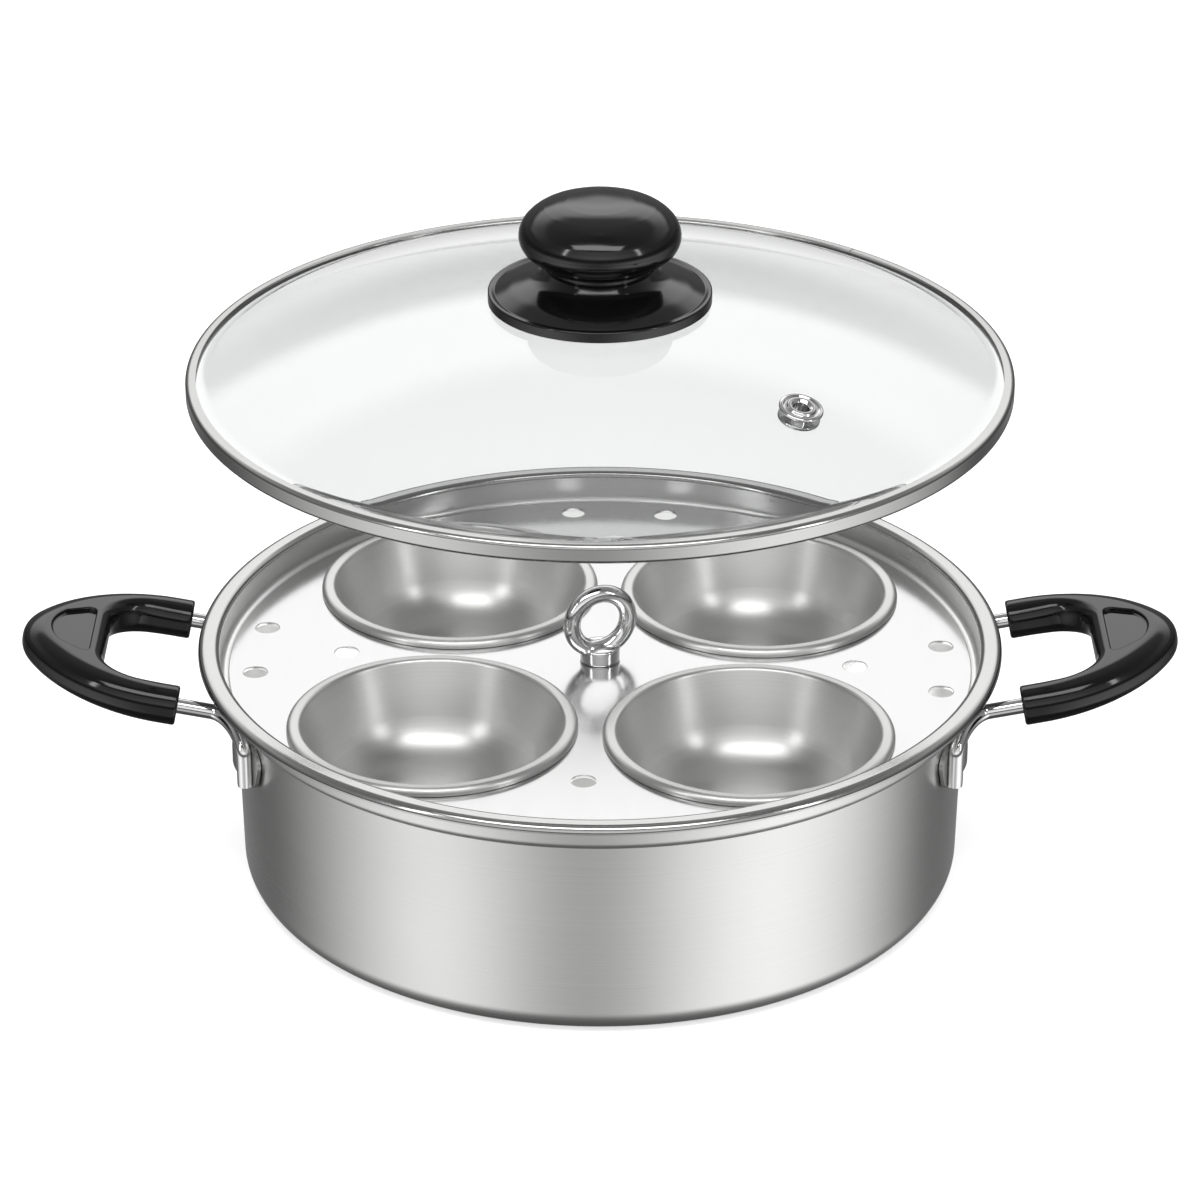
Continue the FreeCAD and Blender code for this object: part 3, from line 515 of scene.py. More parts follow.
# How each finish is made, the colour setting it takes, and its numbers. Brushing lines are about 0.1 mm apart on the
# real steel, and are drawn coarser here so that they show.
FINISHES = {
    # 304 stainless steel, drawn and then brushed round on a lathe: soft upright bands of light on the wall
    "brushed_stainless": (turned_metal, "pan_steel", dict(
        roughness=0.3, line=0.6 * MM, wander=40 * MM, gloss_spread=0.04, relief=0.004 * MM, stretch=0.75)),
    # 304 stainless steel, drawn and spun: fine rings in the bowl that catch the light as fans
    "spun_stainless": (turned_metal, "cup_steel", dict(
        roughness=0.36, line=0.7 * MM, wander=30 * MM, gloss_spread=0.05, relief=0.004 * MM, stretch=0.5)),
    # 430 stainless strip, bright rolled and folded: close lines round the lid, softer than a mirror
    "rolled_stainless": (turned_metal, "band_steel", dict(
        roughness=0.2, line=0.5 * MM, wander=40 * MM, gloss_spread=0.04, relief=0.003 * MM, stretch=0.5)),
    # 304 stainless sheet buffed to a mirror: it shows its surroundings, with a slow wave and faint wipe marks
    "mirror_stainless": (polished_steel, "plate_steel", dict(
        roughness=0.16, wave=45 * MM, wave_relief=0.01 * MM, wipe=3 * MM, gloss_spread=0.05)),
    # The pan's sheet at its turned rim, buffed: a bright smooth lip, in the band's darker tint, which is painted
    # shade that dims it below the wall's same steel
    "buffed_stainless_painted_shade": (polished_steel, "band_steel", dict(
        roughness=0.14, wave=30 * MM, wave_relief=0.004 * MM, wipe=3 * MM, gloss_spread=0.06)),
    # Steel bar and castings, polished and nickel-chrome plated: bright, sharp reflections
    "plated_steel": (polished_steel, "bright_steel", dict(
        roughness=0.08, wave=10 * MM, wave_relief=0.001 * MM, wipe=1.5 * MM, gloss_spread=0.05)),
    # 304 stainless leaf, pressed and left as rolled: greyer and duller than the rods
    "pressed_stainless": (polished_steel, "band_steel", dict(
        roughness=0.28, wave=8 * MM, wave_relief=0.004 * MM, wipe=1 * MM, gloss_spread=0.08)),
    # Phenolic resin moulded in a polished tool: deep black, glossy, with faint flow marks
    "phenolic_resin": (moulded, "resin", dict(
        roughness=0.08, ior=1.45, flow=14 * MM, relief=0.002 * MM, gloss_spread=0.04)),
    # The same resin on the knob, its moulding lines buffed off: a little softer
    "buffed_resin": (moulded, "resin", dict(
        roughness=0.1, ior=1.5, flow=14 * MM, relief=0.002 * MM, gloss_spread=0.04)),
    # The same resin where the tool is etched: a fine matt grain in the sunk panels
    "etched_resin": (moulded, "resin", dict(
        roughness=0.65, ior=1.3, flow=2 * MM, relief=0.01 * MM, gloss_spread=0.1)),
    # Soda-lime glass, pressed and toughened: clear, a little grey
    "toughened_glass": (pressed_glass, "glass", dict(
        ior=1.52, specular=0.35, wave=60 * MM, relief=0.02 * MM)),
    # Free-cutting brass, turned: warm yellow with fine rings
    "turned_brass": (turned_metal, "brass", dict(
        roughness=0.25, line=0.3 * MM, wander=10 * MM, gloss_spread=0.04, relief=0.004 * MM, stretch=0.3)),
    # Silicone rubber, moulded: pale, matt and a little uneven
    "moulded_silicone": (moulded, "silicone", dict(
        roughness=0.5, ior=1.41, flow=4 * MM, relief=0.01 * MM, gloss_spread=0.1)),
}


def finish(name):
    """The material of that name, made the first time it is asked for."""
    make, tint, numbers = FINISHES[name]
    return bpy.data.materials.get(name) or make(name, getattr(bpy.context.scene.poacher.finishes, tint), **numbers)


def dress(node, name):
    """Gives a CAD node that stays a finish of this file."""
    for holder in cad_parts[node].material_slots:
        holder.material = finish(name)


class POACHER_OT_pan(bpy.types.Operator):
    """Turn the drawn pan with its ledge, collar and rim"""
    bl_idname = "poacher.pan"
    bl_label = "Pan"

    def execute(self, context):
        pan = context.scene.poacher.pan
        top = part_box("pan_shell")[1].z
        rim_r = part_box("pan_shell")[1].x
        under = top - pan.sheet
        ledge = top - pan.ledge_depth - pan.sheet
        lip_r = rim_r - pan.sheet
        path = [(0, 0, 0), (pan.wall_r - pan.wall_taper, 0, pan.base_corner), (pan.wall_r, ledge, pan.ledge_bend),
                (pan.collar_r, ledge, pan.collar_corner), (pan.collar_r, under, pan.collar_bend),
                (lip_r, under, pan.rim_round), (lip_r, top - pan.rim_drop, 0)]
        mesh = turned_mesh("pan_body", sheet_section(path, pan.sheet), steps=2 * TURN_STEPS)
        piece = show("pan_body", mesh, finish("brushed_stainless"), "satin_steel", "pan", "pan_shell")
        # The rim's faces take the buffed finish in the band's darker tint: painted shade that dims the lip below the
        # wall's same steel
        piece.data.materials.append(finish("buffed_stainless_painted_shade"))
        for face in mesh.polygons:
            if face.center.to_2d().length > pan.collar_r - pan.sheet and face.center.z > top - pan.rim_drop - HAIR:
                face.material_index = 1
        return {"FINISHED"}


def direction(turn):
    """The way that a turn points, seen from above, one long."""
    return Vector((math.cos(turn), math.sin(turn)))


def with_mirror(half):
    """One half of a grip's edge, as points and directions, and after it the other half."""
    return half + [(Vector((p.x, -p.y)), Vector((n.x, -n.y))) for p, n in reversed(half[:-1])]


def grip_chains(sizes):
    """Outer and inner edge of a grip seen from above, in its own plane: out from the arm ends, and across."""
    outer = sizes.arm_middle + sizes.arm_width / 2
    inner = sizes.arm_middle - sizes.arm_width / 2
    nose = sizes.bow_reach - sizes.nose_r
    span = nose - sizes.arm_straight
    side_r = (span ** 2 + outer ** 2 - sizes.nose_r ** 2) / (2 * (outer - sizes.nose_r))
    side_v = outer - side_r
    swing = math.atan2(-side_v, span)
    arc_steps, corner_steps, run_steps = 40, 20, 4
    start = sizes.end_round
    half = []
    for step in range(run_steps + 1):
        half.append((Vector((start + (sizes.arm_straight - start) * step / run_steps, outer)), Vector((0, 1))))
    for step in range(1, arc_steps + 1):
        out = direction(math.pi / 2 + (swing - math.pi / 2) * step / arc_steps)
        half.append((Vector((sizes.arm_straight, side_v)) + out * side_r, out))
    for step in range(1, arc_steps + 1):
        out = direction(swing * (1 - step / arc_steps))
        half.append((Vector((nose, 0)) + out * sizes.nose_r, out))
    corner = sizes.finger_corner
    straight = sizes.finger_reach - corner
    bottom = inner - corner
    finger = []
    for step in range(run_steps + 1):
        finger.append((Vector((start + (straight - start) * step / run_steps, inner)), Vector((0, -1))))
    for step in range(1, corner_steps + 1):
        out = direction(math.pi / 2 * (1 - step / corner_steps))
        finger.append((Vector((straight, bottom)) + out * corner, -out))
    for across in (bottom / 2, 0):
        finger.append((Vector((sizes.finger_reach, across)), Vector((-1, 0))))
    return with_mirror(half), with_mirror(finger)


def pocket_outline(sizes):
    """The plain sunk panel seen from above: straight towards the fingers, round towards the nose."""
    depth = sizes.pocket_reach - sizes.pocket_start
    arc_r = (depth ** 2 + sizes.pocket_half ** 2) / (2 * depth)
    centre = Vector((sizes.pocket_reach - arc_r, 0))
    reach = math.asin(sizes.pocket_half / arc_r)
    half_steps = 24
    path = [(*(centre + direction(reach * (1 - step / half_steps)) * arc_r), 0) for step in range(2 * half_steps + 1)]
    path[0] = (*path[0][:2], sizes.pocket_corner)
    path[-1] = (*path[-1][:2], sizes.pocket_corner)
    room = 2.6 * sizes.pocket_corner
    trimmed = [p for p in path[1:-1] if abs(p[1]) < sizes.pocket_half - room]
    middle = (sizes.pocket_start, 0, 0)
    return rounded([middle, path[0], *trimmed, path[-1], middle])[:-1]


def grip_mesh(name, sizes):
    """The grip in its own plane: edge layers round the outline, open ends with sockets, and the sunk panel."""
    half = sizes.thick / 2
    round_r = sizes.edge_round
    outside, finger = grip_chains(sizes)
    layers = []
    arcs = 14
    for step in range(arcs + 1):
        turn = math.pi / 2 * step / arcs
        layers.append((round_r * (1 - math.sin(turn)), half - round_r + round_r * math.cos(turn)))
    layers = [(layers[0][0] + SUPPORT, half)] + layers
    layers = layers + [(inset, -up) for inset, up in reversed(layers)]
    bm = bmesh.new()

    def chain(edge, softness, start, end):
        """Rows of an edge; its rounding goes smoothly from its own width at the arms to a share of it at the bow."""
        widths = []
        for place, _ in edge:
            way = min(max((place.x - start) / (end - start), 0), 1)
            widths.append(1 + (softness - 1) * way * way * (3 - 2 * way))
        return [[bm.verts.new((*(p - n * inset * width), up)) for (p, n), width in zip(edge, widths)]
                for inset, up in layers]

    outer_rows = chain(outside, sizes.bow_soft, sizes.arm_straight, sizes.bow_reach)
    finger_rows = chain(finger, sizes.finger_soft, sizes.arm_straight, sizes.finger_reach - sizes.finger_corner / 2)
    faces_between(bm, outer_rows, closed=False)
    faces_between(bm, finger_rows, closed=False)

    # Open ends: the section's loop is rounded in, then stepped into the rod's socket
    chamfer = 0.2 * MM
    for place, side in ((0, 1), (-1, -1)):
        loop = [row[place] for row in outer_rows] + [row[place] for row in reversed(finger_rows)]
        centre = Vector((sizes.end_round, side * sizes.arm_middle, 0))
        spokes = [vert.co - centre for vert in loop]
        steps = []
        for turn in (22.5, 45, 67.5, 90):
            lean = math.radians(turn)
            steps.append((-sizes.end_round * math.sin(lean), sizes.end_round * (1 - math.cos(lean))))
        rings = [loop]
        for back, inset in steps:
            rings.append([bm.verts.new(centre + spoke * (1 - inset / spoke.length) + Vector((back, 0, 0)))
                          for spoke in spokes])
        for radius, depth in ((sizes.socket_r + chamfer, 0), (sizes.socket_r, chamfer),
                              (sizes.socket_r, sizes.socket_depth), (0.5 * sizes.socket_r, sizes.socket_depth)):
            rings.append([bm.verts.new(centre + spoke.normalized() * radius
                                       + Vector((depth - sizes.end_round, 0, 0))) for spoke in spokes])
        faces_between(bm, rings)
        bm.faces.new(rings[-1])

    # Top and bottom: flat, the top with the panel sunk into it
    def ring_edges(verts):
        return [bm.edges.get((a, b)) or bm.edges.new((a, b)) for a, b in zip(verts, verts[1:] + verts[:1])]

    panel = pocket_outline(sizes)
    lip = 0.5 * MM
    depths = [(lip + SUPPORT, 0.0), (lip, 0.0), (0.6 * lip, 0.1 * lip), (0.25 * lip, 0.4 * lip), (0.0, lip),
              (0.0, sizes.pocket_depth - lip), (-0.25 * lip, sizes.pocket_depth - 0.3 * lip),
              (-lip, sizes.pocket_depth), (-lip - SUPPORT, sizes.pocket_depth)]
    count = len(panel)
    outward = []
    for place in range(count):
        along = (panel[(place + 1) % count] - panel[place - 1]).normalized()
        outward.append(Vector((along.y, -along.x)))
    if outward[0].x > 0:
        outward = [-n for n in outward]
    wells = [[bm.verts.new((*(p + n * grow), half - depth)) for p, n in zip(panel, outward)]
             for grow, depth in depths]
    faces_between(bm, wells)
    top_loop = outer_rows[0] + list(reversed(finger_rows[0]))
    low_loop = outer_rows[-1] + list(reversed(finger_rows[-1]))
    for loops, up, slot in (((top_loop, wells[0]), 1, 0), ((low_loop,), -1, 0), ((wells[-1],), 1, 1)):
        edges = [edge for loop in loops for edge in ring_edges(loop)]
        filled = bmesh.ops.triangle_fill(bm, use_beauty=True, edges=edges, normal=(0, 0, up))
        for part in filled["geom"]:
            if isinstance(part, bmesh.types.BMFace):
                part.material_index = slot
    return finished(bm, name)


class POACHER_OT_grips(bpy.types.Operator):
    """Mould the two black grips"""
    bl_idname = "poacher.grips"
    bl_label = "Grips"

    def execute(self, context):
        sizes = context.scene.poacher.handles
        place = Matrix.Translation((sizes.arm_end_x, 0, sizes.arm_end_z)) @ Matrix.Rotation(-sizes.tilt, 4, "Y")
        for side, turn in (("right", 0), ("left", math.pi)):
            mesh = grip_mesh("grip_" + side, sizes)
            mesh.transform(Matrix.Rotation(turn, 4, "Z") @ place)
            show("grip_" + side, mesh, finish("phenolic_resin"), "black_phenolic", "pan", "handle_grip_" + side)
            mesh.materials.append(finish("etched_resin"))
        return {"FINISHED"}


def rod_line(sizes):
    """Middle line of the right-hand front rod, from inside the grip down to its foot."""
    out = Vector((math.cos(sizes.tilt), 0, math.sin(sizes.tilt)))
    arm_end = Vector((sizes.arm_end_x, -sizes.arm_middle, sizes.arm_end_z))
    start = arm_end + out * sizes.rod_depth
    bend_start = arm_end - out * sizes.rod_straight
    bend_end = Vector((sizes.leg_r * math.cos(sizes.leg_angle), -sizes.leg_r * math.sin(sizes.leg_angle),
                       sizes.leg_top))
    down = Vector((0, 0, -1))
    bend = interpolate_bezier(bend_start, bend_start - out * sizes.bend_reach,
                              bend_end - down * sizes.bend_rise, bend_end, 40)
    foot = [bend_end + down * sizes.leg_length * step / 6 for step in range(1, 7)]
    return [start, (start + bend_start) / 2] + list(bend) + foot


class POACHER_OT_rods(bpy.types.Operator):
    """Bend the four bright rods"""
    bl_idname = "poacher.rods"
    bl_label = "Handle rods"

    def execute(self, context):
        sizes = context.scene.poacher.handles
        line = rod_line(sizes)
        for side, x in (("right", 1), ("left", -1)):
            for end, y in (("front", 1), ("back", -1)):
                points = [Vector((x * p.x, y * p.y, p.z)) for p in line]
                mesh = tube_mesh(f"rod_{side}_{end}", points, sizes.rod_r, end_round=0.5 * MM)
                show(f"rod_{side}_{end}", mesh, finish("plated_steel"), "polished_steel", "pan",
                     f"handle_rod_{side}_{end}")
        return {"FINISHED"}


class POACHER_OT_weld_plates(bpy.types.Operator):
    """Dress the pressed leaves between rods and wall"""
    bl_idname = "poacher.weld_plates"
    bl_label = "Weld plates"

    def execute(self, context):
        for side in ("left", "right"):
            for end in ("front", "back"):
                dress(f"weld_plate_{side}_{end}", "pressed_stainless")
        return {"FINISHED"}


def plate_mesh(name, outline_r, holes, low, high, edge_round, hole_round):
    """A flat round plate with round holes, its edges slightly rounded."""
    bm = bmesh.new()
    caps = {low: [], high: []}
    loops = [(Vector((0, 0)), outline_r, edge_round, 1, 2 * TURN_STEPS)]
    loops += [(centre, radius, hole_round, -1, steps) for centre, radius, steps in holes]
    for centre, radius, soft, sign, steps in loops:
        rows = []
        arcs = [math.radians(a) for a in (0, 30, 60, 90)]
        profile = [(radius - sign * soft * (1 - math.sin(a)), high - soft * (1 - math.cos(a))) for a in arcs]
        profile += [(across, low + high - up) for across, up in reversed(profile)]
        for across, up in profile:
            rows.append([bm.verts.new((centre.x + across * math.cos(t), centre.y + across * math.sin(t), up))
                         for t in (FULL_TURN * step / steps for step in range(steps))])
        faces_between(bm, rows)
        for row, up in ((rows[0], high), (rows[-1], low)):
            caps[up] += [bm.edges.get((a, b)) for a, b in zip(row, row[1:] + row[:1])]
    for up, edges in caps.items():
        bmesh.ops.triangle_fill(bm, use_beauty=True, edges=edges, normal=(0, 0, 1 if up == high else -1))
    mesh = finished(bm, name)
    uses = [0] * len(mesh.edges)
    for face in mesh.polygons:
        if abs(face.normal.z) > 1 - FLAT:
            for corner in face.loop_indices:
                uses[mesh.loops[corner].edge_index] += 1
    for edge in mesh.edges:
        edge.use_edge_sharp = uses[edge.index] == 1
    return mesh


CUPS = ("front_left", "front_right", "back_left", "back_right")


def cup_centre(name):
    """Middle of a cup seen from above."""
    low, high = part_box("egg_cup_" + name)
    return ((low + high) / 2).to_2d()


class POACHER_OT_plate(bpy.types.Operator):
    """Cut the polished plate with its cup holes and steam holes"""
    bl_idname = "poacher.plate"
    bl_label = "Plate"
    shank_gap = 0.2 * MM
    shank_steps, cup_steps, steam_steps = 32, 128, 56

    def execute(self, context):
        sizes = context.scene.poacher.insert
        low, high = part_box("insert_tray")
        holes = [(Vector((0, 0)), sizes.eye_shank_r + self.shank_gap, self.shank_steps)]
        for name in CUPS:
            holes.append((cup_centre(name), sizes.cup_hole_r, self.cup_steps))
        outer = math.sqrt(sizes.steam_outer ** 2 - sizes.steam_half ** 2)
        for group in range(len(CUPS)):
            turn = Matrix.Rotation(sizes.turn + group * FULL_TURN / len(CUPS), 2)
            for spot in ((sizes.steam_inner, 0), (outer, -sizes.steam_half), (outer, sizes.steam_half)):
                holes.append((turn @ Vector(spot), sizes.steam_r, self.steam_steps))
        mesh = plate_mesh("plate", high.x, holes, low.z, high.z, sizes.edge_round, sizes.hole_round)
        show("plate", mesh, finish("mirror_stainless"), "mirror_steel", "insert", "insert_tray")
        return {"FINISHED"}


class POACHER_OT_cups(bpy.types.Operator):
    """Spin the four hanging cups"""
    bl_idname = "poacher.cups"
    bl_label = "Egg cups"

    def execute(self, context):
        sizes = context.scene.poacher.insert
        plate_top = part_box("insert_tray")[1].z
        for name in CUPS:
            low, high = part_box("egg_cup_" + name)
            rim_r = (high.x - low.x) / 2
            mouth_r = rim_r - sizes.cup_rim_width
            under = sizes.cup_rim_height - sizes.cup_sheet
            lip_r = rim_r - sizes.cup_sheet
            bottom = sizes.cup_rim_height - sizes.cup_depth
            path = [(0, bottom, 0), (mouth_r - sizes.cup_lean, bottom, sizes.cup_corner),
                    (mouth_r, under, sizes.cup_bend), (lip_r, under, sizes.cup_rim_round),
                    (lip_r, sizes.cup_seat, 0)]
            mesh = turned_mesh("cup_" + name, sheet_section(path, sizes.cup_sheet))
            place = Matrix.Translation((*cup_centre(name), plate_top))
            show("cup_" + name, mesh, finish("spun_stainless"), "spun_steel", "cup_" + name, "egg_cup_" + name,
                 place=place)
        return {"FINISHED"}


class POACHER_OT_lifting_eye(bpy.types.Operator):
    """Cast the lifting eye and dress its washer and nut"""
    bl_idname = "poacher.lifting_eye"
    bl_label = "Lifting eye"
    ring_steps = 128
    wire_steps = 48
    shank_steps = 96
    soften_rounds = 8

    def execute(self, context):
        sizes = context.scene.poacher.insert
        plate_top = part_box("insert_tray")[1].z
        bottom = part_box("lift_eye")[0].z - plate_top
        edge = sizes.eye_edge
        collar = rounded([(0, bottom, 0), (sizes.eye_shank_r, bottom, edge), (sizes.eye_shank_r, 0, 0),
                          (sizes.eye_collar_r, 0, edge), (sizes.eye_collar_r, sizes.eye_collar_height, edge),
                          (0, sizes.eye_collar_height, 0)])
        body = loose("eye_body", turned_mesh("eye_body", collar, steps=self.shank_steps))
        ring = bmesh.new()
        rows = []
        for turn in (FULL_TURN * step / self.ring_steps for step in range(self.ring_steps)):
            ray = Vector((math.cos(turn), 0, math.sin(turn)))
            row = []
            for side in (FULL_TURN * step / self.wire_steps for step in range(self.wire_steps)):
                row.append(ring.verts.new(ray * (sizes.eye_ring_r + sizes.eye_wire_r * math.cos(side))
                                          + Vector((0, sizes.eye_wire_r * math.sin(side), sizes.eye_height))))
            rows.append(row)
        faces_between(ring, rows + rows[:1])
        loop = loose("eye_loop", finished(ring, "eye_loop"))
        cast = loose("eye_cast", combined(body, loop, "UNION", "eye"))
        remesh = cast.modifiers.new("cast", "REMESH")
        remesh.mode = "VOXEL"
        remesh.voxel_size = sizes.eye_grain
        soften = cast.modifiers.new("soften", "SMOOTH")
        soften.factor = 0.5
        soften.iterations = self.soften_rounds
        mesh = evaluated(cast, "eye")
        for face in mesh.polygons:
            face.use_smooth = True
        mesh.transform(Matrix.Translation((0, 0, plate_top)) @ Matrix.Rotation(sizes.eye_angle, 4, "Z"))
        show("eye", mesh, finish("plated_steel"), "polished_steel", "insert", "lift_eye")
        dress("lift_eye_washer", "plated_steel")
        dress("lift_eye_nut", "plated_steel")
        return {"FINISHED"}


class Dome:
    """The lid's glass dome: its outer sphere and the places that depend on it."""

    def __init__(self, sizes):
        self.lid_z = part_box("lid_band")[0].z
        self.lid_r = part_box("lid_band")[1].x
        self.glass_low = self.lid_z + sizes.band_sheet + sizes.glass_gap
        self.glass_top = self.glass_low + sizes.glass_thick
        self.glass_r = self.lid_r - sizes.glass_edge
        self.dome_r = self.glass_r - sizes.glass_flange
        self.sphere_r = (self.dome_r ** 2 + sizes.glass_rise ** 2) / (2 * sizes.glass_rise)
        self.centre = self.glass_top + sizes.glass_rise - self.sphere_r
        self.inner_r = self.sphere_r - sizes.glass_thick

    def height(self, across, radius):
        """Height of a sphere about the dome's centre, at that distance from the axis."""
        return self.centre + math.sqrt(radius ** 2 - across ** 2)

    def arc(self, start, end, radius, steps):
        """Points of such a sphere's section from one distance to another."""
        return [(across, self.height(across, radius), 0) for across in
                (start + (end - start) * step / steps for step in range(steps + 1))]

    def vent(self, sizes):
        """Place and lean of the steam vent on the glass."""
        across = Vector((sizes.vent_x, -sizes.vent_y))
        seat = Vector((*across, self.height(across.length, self.sphere_r)))
        out = (seat - Vector((0, 0, self.centre))).normalized()
        lean = Vector((0, 0, 1)).rotation_difference(out).to_matrix().to_4x4()
        return Matrix.Translation(seat) @ lean


class POACHER_OT_lid_glass(bpy.types.Operator):
    """Press the domed glass and drill it for the knob and the vent"""
    bl_idname = "poacher.lid_glass"
    bl_label = "Lid glass"
    dome_steps = 60
    bore_steps = 48

    def execute(self, context):
        sizes = context.scene.poacher.lid
        dome = Dome(sizes)
        foot_r = math.sqrt(dome.inner_r ** 2 - (dome.glass_low - dome.centre) ** 2)
        edge = sizes.glass_round
        top = dome.arc(sizes.screw_hole, dome.dome_r, dome.sphere_r, self.dome_steps)
        top[-1] = (*top[-1][:2], sizes.glass_bend)
        low = dome.arc(foot_r, sizes.screw_hole, dome.inner_r, self.dome_steps)
        low[0] = (*low[0][:2], sizes.glass_bend)
        path = top + [(dome.glass_r, dome.glass_top, edge), (dome.glass_r, dome.glass_low, edge)] + low
        glass = loose("glass_blank", turned_mesh("glass_blank", rounded(path), steps=2 * TURN_STEPS))
        reach, bore_r = 3 * sizes.glass_thick, sizes.vent_tube_r + sizes.vent_gap
        bore = rounded([(0, -reach, 0), (bore_r, -reach, 0), (bore_r, reach, 0), (0, reach, 0)])
        drill = loose("vent_drill", turned_mesh("vent_drill", bore, steps=self.bore_steps))
        drill.matrix_world = dome.vent(sizes)
        mesh = combined(glass, drill, "DIFFERENCE", "glass")
        mesh.set_sharp_from_angle(angle=SHARP)
        glass = show("glass", mesh, finish("toughened_glass"), "clear_glass", "lid", "lid_glass")
        # Clear glass hardly shows in the steel under it, and throws hardly any shadow
        glass.visible_glossy = False
        glass.visible_shadow = False
        return {"FINISHED"}


class POACHER_OT_lid_band(bpy.types.Operator):
    """Fold the steel band round the glass"""
    bl_idname = "poacher.lid_band"
    bl_label = "Lid band"

    def execute(self, context):
        sizes = context.scene.poacher.lid
        dome = Dome(sizes)
        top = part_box("lid_band")[1].z
        lip = dome.lid_r - sizes.band_lip
        path = [(lip, dome.lid_z, 0), (dome.lid_r, dome.lid_z, sizes.band_round), (dome.lid_r, top, sizes.band_round),
                (lip, top, 0)]
        seam = sizes.band_seam / dome.lid_r
        mesh = turned_mesh("band", sheet_section(path, sizes.band_sheet), FULL_TURN - seam,
                           sizes.seam_angle + seam / 2, 2 * TURN_STEPS)
        show("band", mesh, finish("rolled_stainless"), "band_steel", "lid", "lid_band")
        return {"FINISHED"}


class POACHER_OT_knob(bpy.types.Operator):
    """Turn the knob's head and skirt"""
    bl_idname = "poacher.knob"
    bl_label = "Knob"
    # Corners of the two outlines: how far out, how high, and the corner radius, as shares of head and flare
    head_shares = ((0.0, 1.0, 0.0), (0.271, 1.0, 3.1), (0.558, 0.968, 1.04), (0.822, 0.8545, 0.57),
                   (1.0, 0.618, 0.318), (1.0, 0.364, 0.248), (0.86, 0.182, 0.42))
    under_share, under_round = 0.1, 0.06
    flare_shares = ((0.62, 0.24, 0.9), (0.14, 0.58, 0.35))
    seat_steps = 16

    def execute(self, context):
        sizes = context.scene.poacher.lid
        dome = Dome(sizes)
        seat = dome.height(sizes.skirt_r, dome.sphere_r) + sizes.skirt_gap
        edge_top, top = seat + sizes.skirt_edge, seat + sizes.skirt_height
        climb, reach, ridge = top - edge_top, sizes.skirt_r - sizes.neck_r, sizes.skirt_ridge
        path = dome.arc(sizes.screw_hole, sizes.skirt_r, dome.sphere_r + sizes.skirt_gap, self.seat_steps)
        path += [(sizes.skirt_r, edge_top, ridge / 2), (sizes.skirt_r - ridge, edge_top, ridge / 3),
                 (sizes.skirt_r - 2 * ridge, edge_top - ridge / 4, ridge / 3)]
        path += [(sizes.neck_r + r * reach, edge_top + h * climb, a * reach) for r, h, a in self.flare_shares]
        path += [(sizes.neck_r, top, sizes.neck_groove / 2), (sizes.screw_hole, top, 0)]
        mesh = turned_mesh("knob_skirt_moulding", rounded(path))
        show("knob_skirt_moulding", mesh, finish("buffed_resin"), "black_phenolic", "lid", "knob_skirt")
        base = top + sizes.joint_gap
        waist = sizes.neck_r - sizes.neck_groove
        path = [(r * sizes.head_r, base + h * sizes.head_height, a * sizes.head_r) for r, h, a in self.head_shares]
        under = base + self.under_share * sizes.head_height
        path += [(waist, under, self.under_round * sizes.head_r), (waist, base, 0), (sizes.insert_collar_r, base, 0),
                 (sizes.insert_collar_r, base + sizes.insert_collar, 0),
                 (sizes.insert_r, base + sizes.insert_collar, 0), (sizes.insert_r, base + sizes.insert_length, 0),
                 (0, base + sizes.insert_length, 0)]
        mesh = turned_mesh("knob_head_moulding", rounded(path))
        show("knob_head_moulding", mesh, finish("buffed_resin"), "black_phenolic", "lid", "knob_head")
        return {"FINISHED"}


class POACHER_OT_knob_fixings(bpy.types.Operator):
    """Dress the screw, washer, gasket and insert that hold the knob"""
    bl_idname = "poacher.knob_fixings"
    bl_label = "Knob fixings"

    def execute(self, context):
        for node, name in (("knob_insert", "turned_brass"), ("knob_gasket", "moulded_silicone"),
                           ("knob_washer", "plated_steel"), ("knob_screw", "plated_steel")):
            dress(node, name)
        return {"FINISHED"}


class POACHER_OT_vent(bpy.types.Operator):
    """Turn the steam vent's eyelet and the ring under the glass"""
    bl_idname = "poacher.vent"
    bl_label = "Steam vent"
    # Corners of the bead round the hole: out from the hole, up as a share of the flange, and the corner radius
    inner_bead = ((2.5 * MM, 0.38, 0.5 * MM), (1.8 * MM, 1.0, 0.5 * MM), (0.9 * MM, 1.0, 0.45 * MM),
                  (0.0, 0.56, 0.4 * MM))
    ring_gap = 0.05 * MM
    steps = 96

    def execute(self, context):
        sizes = context.scene.poacher.lid
        place = Dome(sizes).vent(sizes)
        low = -sizes.glass_thick - sizes.vent_ring_height - sizes.vent_tail
        top = sizes.vent_flange_height
        path = [(sizes.vent_hole_r, low, 0), (sizes.vent_tube_r, low, 0.2 * MM),
                (sizes.vent_tube_r, sizes.vent_gap, 0.1 * MM), (sizes.vent_flange_r, sizes.vent_gap, 0.3 * MM),
                (sizes.vent_flange_r, 0.62 * top, 0.6 * MM), (sizes.vent_flange_r - 1.0 * MM, 0.82 * top, 0.5 * MM)]
        path += [(sizes.vent_hole_r + out, up * top, soft) for out, up, soft in self.inner_bead]
        path += [(sizes.vent_hole_r, low, 0)]
        mesh = turned_mesh("vent_eyelet_shell", rounded(path)[:-1], steps=self.steps)
        show("vent_eyelet_shell", mesh, finish("plated_steel"), "polished_steel", "lid", "vent_eyelet", place=place)
        high = -sizes.glass_thick - sizes.vent_gap
        below = high - sizes.vent_ring_height
        soft = sizes.vent_ring_height / 3
        inside = sizes.vent_tube_r + self.ring_gap
        path = [(inside, below, 0), (sizes.vent_ring_r, below, soft), (sizes.vent_ring_r, high, soft),
                (inside, high, 0)]
        mesh = turned_mesh("vent_back_ring", rounded(path), steps=self.steps)
        show("vent_back_ring", mesh, finish("plated_steel"), "polished_steel", "lid", "vent_ring", place=place)
        return {"FINISHED"}


